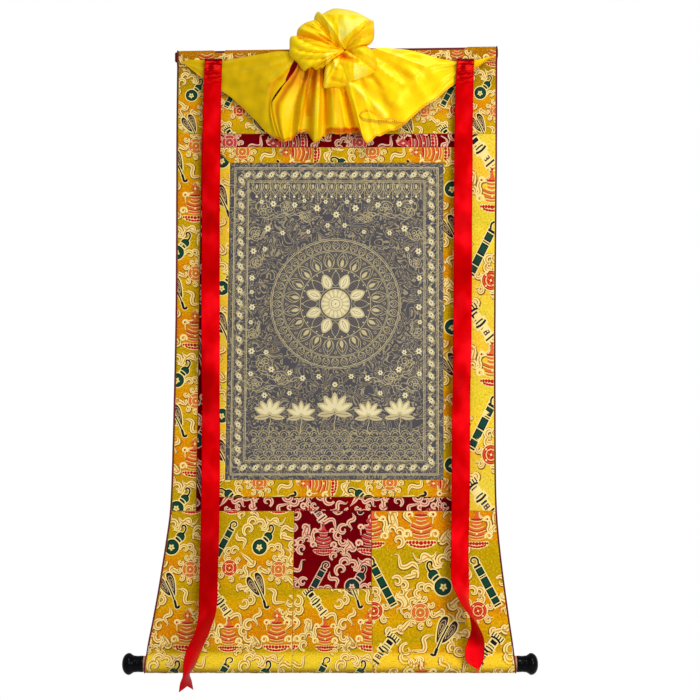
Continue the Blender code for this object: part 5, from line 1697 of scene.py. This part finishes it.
# The silk's folds from its left corner to its right one: (x, z, how far it stands out) at the
# top, the middle and the hem of each, in millimetres
RIBS = np.array((
    ((-287.2, -24.4, 0.3), (-286.2, -25.6, 0.3), (-285.3, -26.8, 0.3)),
    ((-267.6, -22.2, 0.4), (-265.7, -33.0, 0.8), (-263.8, -43.3, 0.8)),
    ((-247.2, -22.4, 0.3), (-244.4, -41.7, 0.8), (-241.6, -61.0, 0.8)),
    ((-226.8, -23.6, 0.3), (-223.8, -48.9, 0.8), (-220.8, -75.2, 0.8)),
    ((-207.8, -23.6, 0.6), (-203.2, -56.8, 3.0), (-198.9, -89.1, 2.0)),
    ((-185.8, -19.7, 1.0), (-180.7, -66.3, 6.2), (-176.3, -108.7, 3.5)),
    ((-159.8, -14.9, 1.5), (-156.4, -75.7, 8.5), (-152.1, -132.1, 5.0)),
    ((-133.7, -10.6, 2.0), (-135.2, -82.3, 12.5), (-133.5, -152.7, 6.0)),
    ((-104.7, -6.7, 4.0), (-119.4, -84.0, 11.0), (-119.6, -163.2, 7.0)),
    ((-65.7, -9.8, 8.0), (-113.2, -90.1, 15.0), (-109.0, -170.5, 10.0)),
    ((-56.7, -9.8, 8.0), (-107.8, -93.6, 15.0), (-101.4, -174.4, 13.0)),
    ((-55.7, -19.8, 8.0), (-95.1, -99.3, 20.0), (-93.3, -177.9, 17.0)),
    ((-49.8, -24.6, 7.0), (-72.6, -97.8, 10.0), (-83.5, -170.9, 5.0)),
    ((-43.7, -25.9, 9.0), (-59.4, -93.5, 21.0), (-68.5, -158.2, 15.0)),
    ((-37.8, -25.6, 7.0), (-47.7, -91.8, 10.0), (-51.8, -159.9, 5.0)),
    ((-32.8, -25.9, 9.0), (-37.5, -99.8, 23.0), (-39.5, -179.1, 19.0)),
    ((-27.8, -26.9, 9.0), (-27.6, -97.3, 20.0), (-29.7, -171.2, 15.0)),
    ((-22.8, -29.7, 8.0), (-19.8, -92.0, 11.0), (-18.5, -163.0, 6.0)),
    ((-13.8, -36.1, 10.0), (-5.8, -94.5, 21.0), (-0.9, -160.6, 15.0)),
    ((-6.9, -40.0, 10.0), (6.1, -96.2, 19.0), (16.7, -160.2, 13.0)),
    ((0.1, -43.7, 8.0), (19.0, -96.8, 10.0), (31.8, -159.2, 6.0)),
    ((8.1, -48.2, 11.0), (27.0, -102.9, 17.0), (42.7, -158.7, 11.0)),
    ((18.0, -42.5, 13.0), (37.9, -110.0, 25.0), (55.6, -176.5, 18.0)),
    ((32.0, -32.6, 13.0), (55.8, -99.8, 23.0), (78.7, -164.9, 13.0)),
    ((43.9, -20.7, 13.0), (75.7, -89.1, 18.0), (105.7, -154.6, 10.0)),
    ((55.9, -8.5, 12.0), (94.5, -77.6, 21.0), (129.1, -141.6, 13.0)),
    ((83.5, -1.6, 10.0), (120.5, -59.6, 14.0), (155.4, -116.8, 8.0)),
    ((108.8, -2.6, 7.0), (142.3, -53.2, 17.0), (172.6, -104.3, 7.0)),
    ((133.7, -4.8, 5.0), (159.4, -49.2, 11.0), (186.2, -96.3, 5.0)),
    ((158.6, -9.9, 3.5), (179.3, -47.2, 11.0), (200.6, -82.7, 4.0)),
    ((181.8, -17.2, 2.0), (197.6, -45.3, 6.0), (212.7, -73.3, 3.0)),
    ((202.8, -22.0, 0.8), (212.8, -43.7, 2.0), (223.0, -65.6, 1.5)),
    ((223.1, -24.4, 0.3), (230.5, -37.5, 0.8), (237.9, -52.5, 0.8)),
    ((241.6, -24.6, 0.3), (246.3, -33.0, 0.8), (250.9, -41.4, 0.8)),
    ((259.8, -22.4, 0.3), (261.8, -29.5, 0.8), (263.8, -35.5, 0.8)),
    ((278.8, -17.9, 0.3), (279.5, -20.6, 0.5), (280.1, -23.4, 0.5)),
    ((294.8, -12.9, 0.3), (295.0, -14.4, 0.3), (295.3, -15.9, 0.3)),
)) / 1000
SLIT_RIB, SLIT_SHARE = 9, 5 / 9  # the tape shows behind this rib, down to this share of it
# How far the folds beside the slit are drawn to the right from top to hem, and how wide it is
# at shares of its length, in millimetres. A fold crosses it in the middle.
SLIT_DRAWN = (0.0, 3.4, 7.8, 7.9, 1.7, -5.4, -4.5, -2.0, -0.5, 0.0)
SLIT_OPEN = (
    (0.0, 10.0), (0.18, 10.4), (0.31, 4.8), (0.34, 0.3), (0.38, 0.3), (0.42, 2.6), (0.50, 2.2), (0.56, 0.4),
    (0.80, 8.0),
)


def pleat(turns):
    """A folded wave with a sharp valley and a round ridge for each turn, from -1 to 1."""
    share = abs(2 * (turns % 1.0) - 1)
    return 2 * share**0.75 - 1.0 - 0.25 * share**4


def crumple(x, z, size=1.0):
    """Sharp little creases, as in silk that has been folded and tied: from -1 to 1."""
    creases = 0.0
    for across, up, phase, weight in (
        (171, 93, 0.3, 0.26), (-88, 187, 1.7, 0.24), (247, -141, 2.9, 0.20),
        (123, 289, 4.4, 0.16), (-331, 97, 5.1, 0.14),
    ):
        bend = 1.1 * np.sin(61 * z * size + phase) + 0.9 * np.sin(47 * x * size - phase)
        creases = creases + weight * (1 - 2 * abs(np.sin((across * x + up * z) * size + phase + bend)))
    return creases


# The veil's knot, and the sharp folds that are pressed into the swags: from (x, z) to (x, z) in
# millimetres from the knot, rise and reach, and how much painted shade lies on the left and on
# the right of each; below 0 it is painted highlight
KNOT = (0.0176, -0.0082)
SWAG_CREASES = (
    (7, -60, 72, -116, 3.0, 8, -0.26, -0.20), (30, -62, 92, -112, -2.0, 12, 0.10, 0.05),
    (60, -30, 104, -62, 2.0, 10, -0.12, 0.10), (52, -8, 118, -50, -2.5, 11, 0.14, 0.06),
    (58, 4, 142, -26, 2.5, 9, -0.16, 0.08), (40, -40, 66, -70, -2.0, 8, 0.16, 0.06),
    (-98, -20, -122, -47, 1.5, 8, 0.40, -0.04), (-122, -47, -140, -59, 1.5, 12, 0.40, -0.04),
    (-140, -59, -145, -71, 1.5, 14, 0.36, -0.04), (-145, -71, -149, -100, 1.5, 14, 0.22, -0.04),
    (-72, -32, -69, -118, -3.0, 5, 0.40, 0.36), (-80, -56, -86, -108, 3.0, 5, 0.06, -0.16),
    (-53, -69, -60, -166, 3.0, 10, -0.10, -0.12), (-31, -78, -34, -134, -2.0, 6, 0.26, 0.24),
    (-19, -73, -21, -134, 2.0, 6, -0.10, -0.08), (-1, -78, 14, -138, -3.0, 6, 0.34, 0.30),
    (-98, -20, -122, -47, 0.5, 3, -0.30, -0.10), (-122, -47, -140, -59, 0.5, 3, -0.30, -0.10),
    (-70, -8, -190, -40, 1.5, 10, 0.10, -0.10), (-80, -14, -172, -70, 1.5, 12, 0.08, -0.08),
    (-90, -2, -230, -22, 1.0, 8, 0.06, -0.10),
)


def creased(x, z, creases):
    """How far creases push the silk out at (x, z), and the painted shade they add there, painted highlight
    where it is below 0.
    """
    spot = (x - KNOT[0]) * 1000 + 1j * (z - KNOT[1]) * 1000
    rise, painted_tone = 0.0, 0.0
    for ax, az, bx, bz, height, reach, left, right in creases:
        run, there = (bx - ax) + 1j * (bz - az), spot - (ax + 1j * az)
        along = (there * run.conjugate()).real / abs(run) ** 2
        near = np.clip(1 - abs(there - np.clip(along, 0, 1) * run) / reach, 0.0, 1.0)
        rise = rise + height * near / 1000
        painted_tone = painted_tone + near**0.7 * np.where((there * run.conjugate()).imag > 0, left, right)
    return rise, painted_tone


places = np.arange(len(RIBS))
v = np.concatenate((np.linspace(0.0, 0.94, 56), (0.955, 0.97, 0.985, 1.0)))
shares_of = np.stack(((1 - v) * (1 - 2 * v), 4 * v * (1 - v), v * (2 * v - 1)))
lines = np.einsum("kv,rkc->rvc", shares_of, RIBS)
place = np.linspace(0, len(RIBS) - 1, 7 * (len(RIBS) - 1) + 1)
x, z, lift = (np.array([smooth_at(places, lines[:, k, c], place) for k in range(len(v))]) for c in range(3))
beside = place - SLIT_RIB - 0.5
drawn = np.interp(v, np.linspace(0.0, 1.0, len(SLIT_DRAWN)), SLIT_DRAWN)[:, None] / 1000
x = x + drawn * ease(1.25 - abs(beside) / 2.5)
edges = x[:, np.searchsorted(place, (SLIT_RIB, SLIT_RIB + 1))]
opened = (np.interp(v, *zip(*SLIT_OPEN)) / 1000 - (edges[:, 1] - edges[:, 0]))[:, None] / 2
v, place = v[:, None], place[None, :]
x = x + opened * np.clip(2 * beside, -1, 1) * ease(1.3 - abs(beside) / 1.6) * ease((0.8 - v) / 0.24)
pleated = ease((place - 8.6) / 1.6) * ease((26.5 - place) / 3.0)
left_swag, right_swag = ease((10 - place) / 3.0), ease((place - 23.5) / 3.0)
phase = math.tau * (0.80 * place + 0.22 * np.sin(1.9 * place) + 0.10 * np.sin(5.1 * place + 3 * v))
wave = 0.7 * np.sin(phase) + 0.5 * pleat(phase / math.tau + 0.11 * v) + 0.35 * pleat(0.31 * place + 0.4 * v)
full = np.maximum(lift, 0.0) / 0.012
lift = lift + pleated * wave * mix(0.0010, 0.0030, v) * np.minimum(full + 0.3, 1.2)
draw = ease(place / 3.0) * ease((36 - place) / 2.5)
lift = lift + draw * left_swag * 0.0011 * np.sin(math.tau * (1.9 * v + 0.10 * place)) * ease(v / 0.2)
radial = 1 - abs(np.sin(math.pi * (2.3 * v + 0.17 * (place - 24)) + 0.6))
lift = lift + draw * right_swag * (0.0046 * radial**2 - 0.0006) * ease(v / 0.12) * ease((1.04 - v) / 0.3)
lift = lift + draw * 0.00045 * crumple(x, z, 0.6) * mix(0.5, 1.0, pleated)
lift = np.maximum(lift, 0.0002)
z = z + 0.0018 * pleated * np.sin(phase + 0.7) * ease((v - 0.85) / 0.15)
face = np.stack((x, VEIL_DEPTH - lift - SILK, z), -1)
steps_down = np.linalg.norm(np.diff(face, axis=0), axis=-1)
down = np.concatenate((np.zeros((1, x.shape[1])), np.cumsum(steps_down, 0)))
along = running_length(face[-1])
veil_uv = np.stack((np.broadcast_to(along, x.shape), down[-1] - down), -1)
rise, painted_tone = creased(x, z, SWAG_CREASES)
face[..., 1] -= rise
# Painted shade where the pleats shade each other
pleat_shade = pleated * ease((21 - place) / 4.0)  # how much the pleats shade each other
# shadow is painted shade, and painted highlight where it falls below its base: crinkles, creases, pleat
# valleys, the pleats under the rosette, the gathered hem, the hem left of the pleats, and painted highlight
# on the right swag's folds
shadow = 0.24 - 0.10 * crumple(x, z, 0.5) - 0.06 * crumple(x, z, 2.1) + painted_tone
valley_shade = np.clip(0.20 - 0.34 * wave, -0.1, 1.0)
shadow = shadow + mix(0.35, 1.0, pleat_shade) * pleated * valley_shade * ease((1.25 - v) / 0.8)
gathered_hem_shade = ease((place - 16.7) / 0.5) * ease((21.8 - place) / 0.8)
gathered_hem_shade = gathered_hem_shade * mix(0.7, 1.6, 0.5 + 0.5 * crumple(x, z, 2.4))
shadow = shadow + 0.95 * gathered_hem_shade * ease((v - 0.915) / 0.02)
shadow = shadow + 0.5 * ease((place - 8.6) / 0.8) * ease((15.2 - place) / 1.2) * ease((v - 0.95) / 0.02)
shadow = shadow + pleat_shade * 0.60 * ease((0.55 - v) / 0.42) - 0.10 * right_swag * radial**4 * ease(v / 0.1)
bare = (v[:-1] < SLIT_SHARE) & (place[:, :-1] >= SLIT_RIB) & (place[:, :-1] < SLIT_RIB + 1)

silk, tree, surface, uv, weave = cloth_material(
    "yellow_veil_silk", 0.0004, 2.0, 0.5, 0.00004, 0.34,
    Specular_IOR_Level=0.7, Specular_Tint=colour(255, 232, 90),
)
along_hem, from_hem = split(tree, uv)[:2]
fold, sheer = (
    add_node(tree, "ShaderNodeAttribute", {"attribute_name": name}, {}).outputs["Fac"]
    for name in ("fold", "sheer")
)
# The fold attribute is painted light and shade: pale painted highlight at 0, then yellow, orange and red
# painted shade as it grows
golds = (
    (0.00, colour(255, 242, 110)), (0.15, colour(255, 220, 6)), (0.30, colour(250, 186, 2)),
    (0.48, colour(240, 136, 0)), (0.67, colour(214, 76, 0)), (1.00, colour(176, 14, 4)),
)
shade = ramp(tree, fold, golds)
hem = sums(tree, "LESS_THAN", from_hem, HEM)
stitched = sums(tree, "COMPARE", from_hem, HEM + 0.0006, 0.0005)
dash = sums(tree, "SINE", sums(tree, "MULTIPLY", along_hem, math.tau / 0.0030))
stitched = sums(tree, "MULTIPLY", stitched, sums(tree, "GREATER_THAN", dash, -0.3))
shade = blend(tree, sums(tree, "MULTIPLY", hem, 0.55), shade, colour(232, 110, 10))
shade = blend(tree, stitched, shade, colour(170, 60, 10))
# Sheer silk shows the darker cloth below it; over the pleats the same blend is painted shade
shade = blend(tree, sheer, shade, colour(206, 168, 4))
shade_cloth(tree, surface, weave, shade, 0.05, 0.06)
thin = sums(tree, "MULTIPLY", sheer, sums(tree, "SUBTRACT", 1.0, hem))
tree.links.new(sums(tree, "MULTIPLY_ADD", thin, -0.22, 1.0), surface.inputs["Alpha"])


def silk_attributes(made, fold, sheer=0.0):
    """Writes the painted shade of each point, painted highlight at its low end, and how sheer the silk is
    there, 0 to 1.
    """
    for name, values in (("fold", fold), ("sheer", sheer)):
        limit = 1.5 if name == "fold" else 1.0
        values = np.clip(np.broadcast_to(values, fold.shape) / limit, 0.0, 1.0).ravel()
        layer = made.data.attributes.new(name, "FLOAT", "POINT")
        layer.data.foreach_set("value", np.concatenate((values, values)).astype(np.float32))


sheet = closed_sheet("veil_sheet", face, face + (0.0, SILK, 0.0), veil_uv, silk, bare)
# Sheer over the left swag, plus painted shade where the pleats shade each other
sheer = (left_swag + 0.45 * pleat_shade * (1 - left_swag)) * (0.85 + 0.3 * crumple(x, z, 0.5))
silk_attributes(sheet, shadow, sheer)

# The rosette's loops, seen from the front in millimetres from the knot, in the order in which
# they lie on each other: outline, depth of the rim, fullness, pleats, how sharp they are, painted shade
LOOPS = (
    (
        ((-53, 47), (-58, 60), (-55, 70), (-50, 74), (-44, 70), (-32, 76), (-18, 80), (10, 76), (31, 68),
         (50, 56), (49, 47), (30, 40)),
        0.0210, 0.034, 3.0, 0.0008, 0.20,
    ),
    (
        ((-78, 16), (-89, 24), (-90, 33), (-87, 43), (-76, 52), (-66, 56), (-59, 58), (-50, 60), (-39, 51)),
        0.0235, 0.022, 5.0, 0.0022, 0.26,
    ),
    (
        ((8, 30), (31, 48), (50, 57), (53, 44), (53, 26), (48, 15), (40, 11), (23, 7)),
        0.0250, 0.027, 2.0, 0.0008, 0.34,
    ),
    (
        ((-30, -8), (-37, -30), (-40, -52), (-40, -68), (-21, -68), (-4, -66), (10, -60), (14, -45),
         (6, -28)),
        0.0300, 0.013, 3.0, 0.0016, 0.30,
    ),
    (
        ((14, 6), (30, 10), (42, 8), (52, -4), (57, -16), (60, -27), (56, -38), (36, -33),
         (16, -27), (-4, -19)),
        0.0280, 0.017, 2.0, 0.0006, 0.42,
    ),
    (
        ((-8, -17), (14, -24), (34, -31), (55, -39), (36, -48), (15, -56), (2, -59), (-10, -50), (-17, -34)),
        0.0330, 0.014, 2.0, 0.0006, 0.30,
    ),
    (
        ((-60, 20), (-85, 26), (-101, 26), (-103, 8), (-102, -8), (-90, -21), (-78, -36),
         (-72, -33), (-62, -30), (-55, -35), (-48, -31), (-42, -32), (-34, -18), (-26, -9)),
        0.0265, 0.023, 8.0, 0.0030, 0.26,
    ),
)
# The creases pressed into the loops, in the same form as those of the swags
CREASES = (
    (3, 25, 31, 48, 5.0, 19, -0.22, 0.12), (-2, 54, 31, 48, 3.0, 12, 0.02, -0.10),
    (3, 26, -2, 54, 2.0, 12, 0.00, -0.12), (-25, 19, -32, 43, 3.0, 9, 0.10, -0.14),
    (-11, 8, -13, 34, 2.5, 10, 0.08, -0.12), (-16, 10, -44, 48, -3.5, 9, 0.16, 0.10),
    (28, 62, -36, 64, 2.5, 12, 0.06, -0.08), (52, 30, 30, 20, -3.0, 12, 0.10, 0.18),
    (44, 44, 20, 24, 2.0, 9, -0.14, 0.10), (-34, 16, -84, 27, -3.0, 9, 0.30, 0.36),
    (-44, 27, -80, 40, 3.0, 8, 0.05, -0.10), (-49, 36, -74, 47, -2.0, 6, 0.16, 0.02),
    (-2, 0, -22, -1, 3.0, 8, -0.22, 0.05), (-22, -1, -38, -9, 3.0, 9, -0.16, 0.10),
    (-34, -12, -39, -66, 2.5, 9, -0.16, 0.06), (-25, -12, -17, -31, 3.0, 7, -0.24, 0.06),
    (-10, -12, -17, -31, 2.5, 7, 0.14, -0.22), (-3, -8, -20, -10, -3.0, 9, 0.40, 0.30),
    (-17, -34, -30, -62, 3.0, 9, 0.10, -0.10), (-24, -56, 2, -62, -2.5, 8, 0.18, 0.04),
    (15, -24, 16, -57, 2.5, 40, -0.24, 0.02), (-8, -18, 55, -39, 2.5, 8, 0.06, -0.10),
    (2, -6, 50, -30, -2.5, 14, 0.10, 0.16), (4, -4, 50, 0, 3.0, 12, 0.02, -0.06),
    (-4, -14, 16, -22, -3.0, 10, 0.34, 0.20),
)

# The hem is turned up in front at the right of the pleats
turned = [
    curve(np.array(edge) / 1000, 0.002)
    for edge in (
        ((43, -129), (48, -122), (59, -118), (69, -122), (78, -129), (89, -134), (102, -132), (115, -136),
         (130, -141)),
        ((43, -129), (48, -136), (58, -139), (67, -140), (78, -141), (89, -141), (102, -142), (115, -142),
         (130, -141)),
    )
]
share = np.linspace(0, 1, 60)
turned = [np.interp(share, np.linspace(0, 1, len(edge)), edge) for edge in turned]
q = np.linspace(0.0, 1.0, 11)[:, None]
spots = mix(*turned, q)
swag = face.reshape(-1, 3)
nearest = abs(spots.ravel()[:, None] - (swag[:, 0] + 1j * swag[:, 2])[None, :]).argmin(1)
under = swag[nearest, 1].reshape(spots.shape)
under = np.minimum(under, np.roll(under, 1, 1), np.roll(under, -1, 1)) - 0.0012
under = under - 0.0030 * np.sin(math.pi * q) * np.sin(math.pi * share) ** 0.5
lip = np.stack((spots.real, under, spots.imag), -1)
rim = np.minimum(*(abs(spots - edge) for edge in turned))
lip_uv = np.stack((np.broadcast_to(np.linspace(0, 0.09, 60), rim.shape), rim), -1)
turned_hem = closed_sheet("turned_hem", lip, lip + (0.0, SILK, 0.0), lip_uv, silk)
# Painted shade across the turned hem, deeper along its upper edge
silk_attributes(turned_hem, 0.16 + 0.2 * np.broadcast_to(1 - q, rim.shape))

pieces = [sheet, turned_hem]
for number, (outline, rim_depth, fullness, folds, crease, shaded) in enumerate(LOOPS):
    rim = curve(outline, 2.1) / 1000
    p = np.linspace(0.0, 1.0, len(rim))[None, :]
    q = np.linspace(0.02, 1.0, 38)[:, None] ** 0.9
    side = np.clip(np.sin(math.pi * p), 0.0, 1.0) ** 0.4
    swell = mix(0.30, 1.0, ease(q / 0.6)) * np.sqrt(np.clip(1 - q**4, 0.0, 1.0))
    bend = 0.05 * np.sin(3.1 * q + 1.7 * number) + 0.02 * np.sin(9 * p + 5 * q)
    ridges = pleat(folds * (p + bend) + 0.37 * number)
    ridges = ridges + 0.5 * pleat(folds * 2.3 * (p - bend) + 0.61 * number) * ease(1.6 * q - 0.3)
    x, z = rim.real * q, rim.imag * q
    rise, painted_tone = creased(KNOT[0] + x, KNOT[1] + z, CREASES)
    run = ease(q / 0.25) * ease((1.02 - q) / 0.2)
    depth = rim_depth + fullness * swell * mix(0.25, 1.0, side) + crease * ridges * run + rise * run
    depth = depth + 0.0007 * crumple(x, z, 1.1) * run
    front = np.stack((KNOT[0] + x, -depth, KNOT[1] + z), -1)
    q_back = np.linspace(0.97, 0.06, 9)[:, None]
    depth = rim_depth + (0.0146 - rim_depth) * np.sqrt(1 - q_back**4) * side
    back = np.stack((KNOT[0] + rim.real * q_back, -depth, KNOT[1] + rim.imag * q_back), -1)
    bag = np.concatenate((front, back))
    reach = np.concatenate((q, 2 - q_back))
    uv_bag = np.stack(np.broadcast_arrays(p * 0.12, 0.01 + reach * 0.08), -1)
    made = closed_sheet(f"loop_{number}", bag, bag - sheet_normals(bag) * SILK, uv_bag, silk)
    # Painted shade of each loop: its own, its creases', deeper near the knot, lighter on the ridges; the
    # backs get an even painted shade
    deep = shaded + painted_tone + 0.35 * ease((0.30 - q) / 0.30) * mix(1.0, 0.3, side) - 0.07 * ridges * run
    deep = deep - 0.05 * crumple(x, z, 1.1)
    silk_attributes(made, np.concatenate((deep, np.full((len(q_back), p.size), 0.4))))
    pieces.append(made)

join_pieces(pieces)
veil = pieces[0]
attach(veil, "root")
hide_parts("veil")


# === Floor, light and camera ===============================================================
# A plain pale floor under the hung scroll, soft white light all round and one large soft
# lamp from the upper right in front.

corners = np.array(((-3.0, -4.0, -2.0), (3.0, -4.0, -2.0), (3.0, 2.0, -2.0), (-3.0, 2.0, -2.0)))
pale, tree, surface = new_material("pale_floor", Base_Color=(0.8, 0.8, 0.8, 1.0), Roughness=0.7)
floor = new_piece("floor", corners, np.array([(0, 1, 2, 3)]), pale)
floor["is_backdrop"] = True

world = bpy.data.worlds.new("studio")
world.use_nodes = True
tree = world.node_tree
seen = add_node(tree, "ShaderNodeLightPath", {}, {}).outputs["Is Camera Ray"]
surround = tree.nodes["Background"]
surround.inputs["Color"].default_value = (1.0, 1.0, 1.0, 1.0)
tree.links.new(sums(tree, "MULTIPLY_ADD", seen, 0.56, 0.44), surround.inputs["Strength"])
bpy.context.scene.world = world
MIDDLE = (0, 0, -0.55)  # the lamps' aim
for name, at, size, power in (
    ("key", (2.6, -4.8, 6.4), 2.4, 410.0), ("fill", (1.5, -1.5, -0.4), 0.8, 19.0),
):
    lamp = bpy.data.lights.new(name, "AREA")
    lamp.size, lamp.energy = size, power
    made = add_object(name, lamp)
    made.location = at
    made.rotation_euler = (Vector(MIDDLE) - Vector(at)).to_track_quat("-Z", "Y").to_euler()

lens = bpy.data.cameras.new("camera")
lens.lens, lens.sensor_width = 85.0, 36.0
camera = add_object("camera", lens)
camera.location = (0.02604, -3.082, -0.5608)
camera.rotation_euler = (math.pi / 2, 0.0, 0.0)
bpy.context.scene.camera = camera
bpy.context.scene.view_settings.view_transform = "Standard"

[[list(map(float, corner)) for corner in box] for box in (cad_box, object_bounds())]
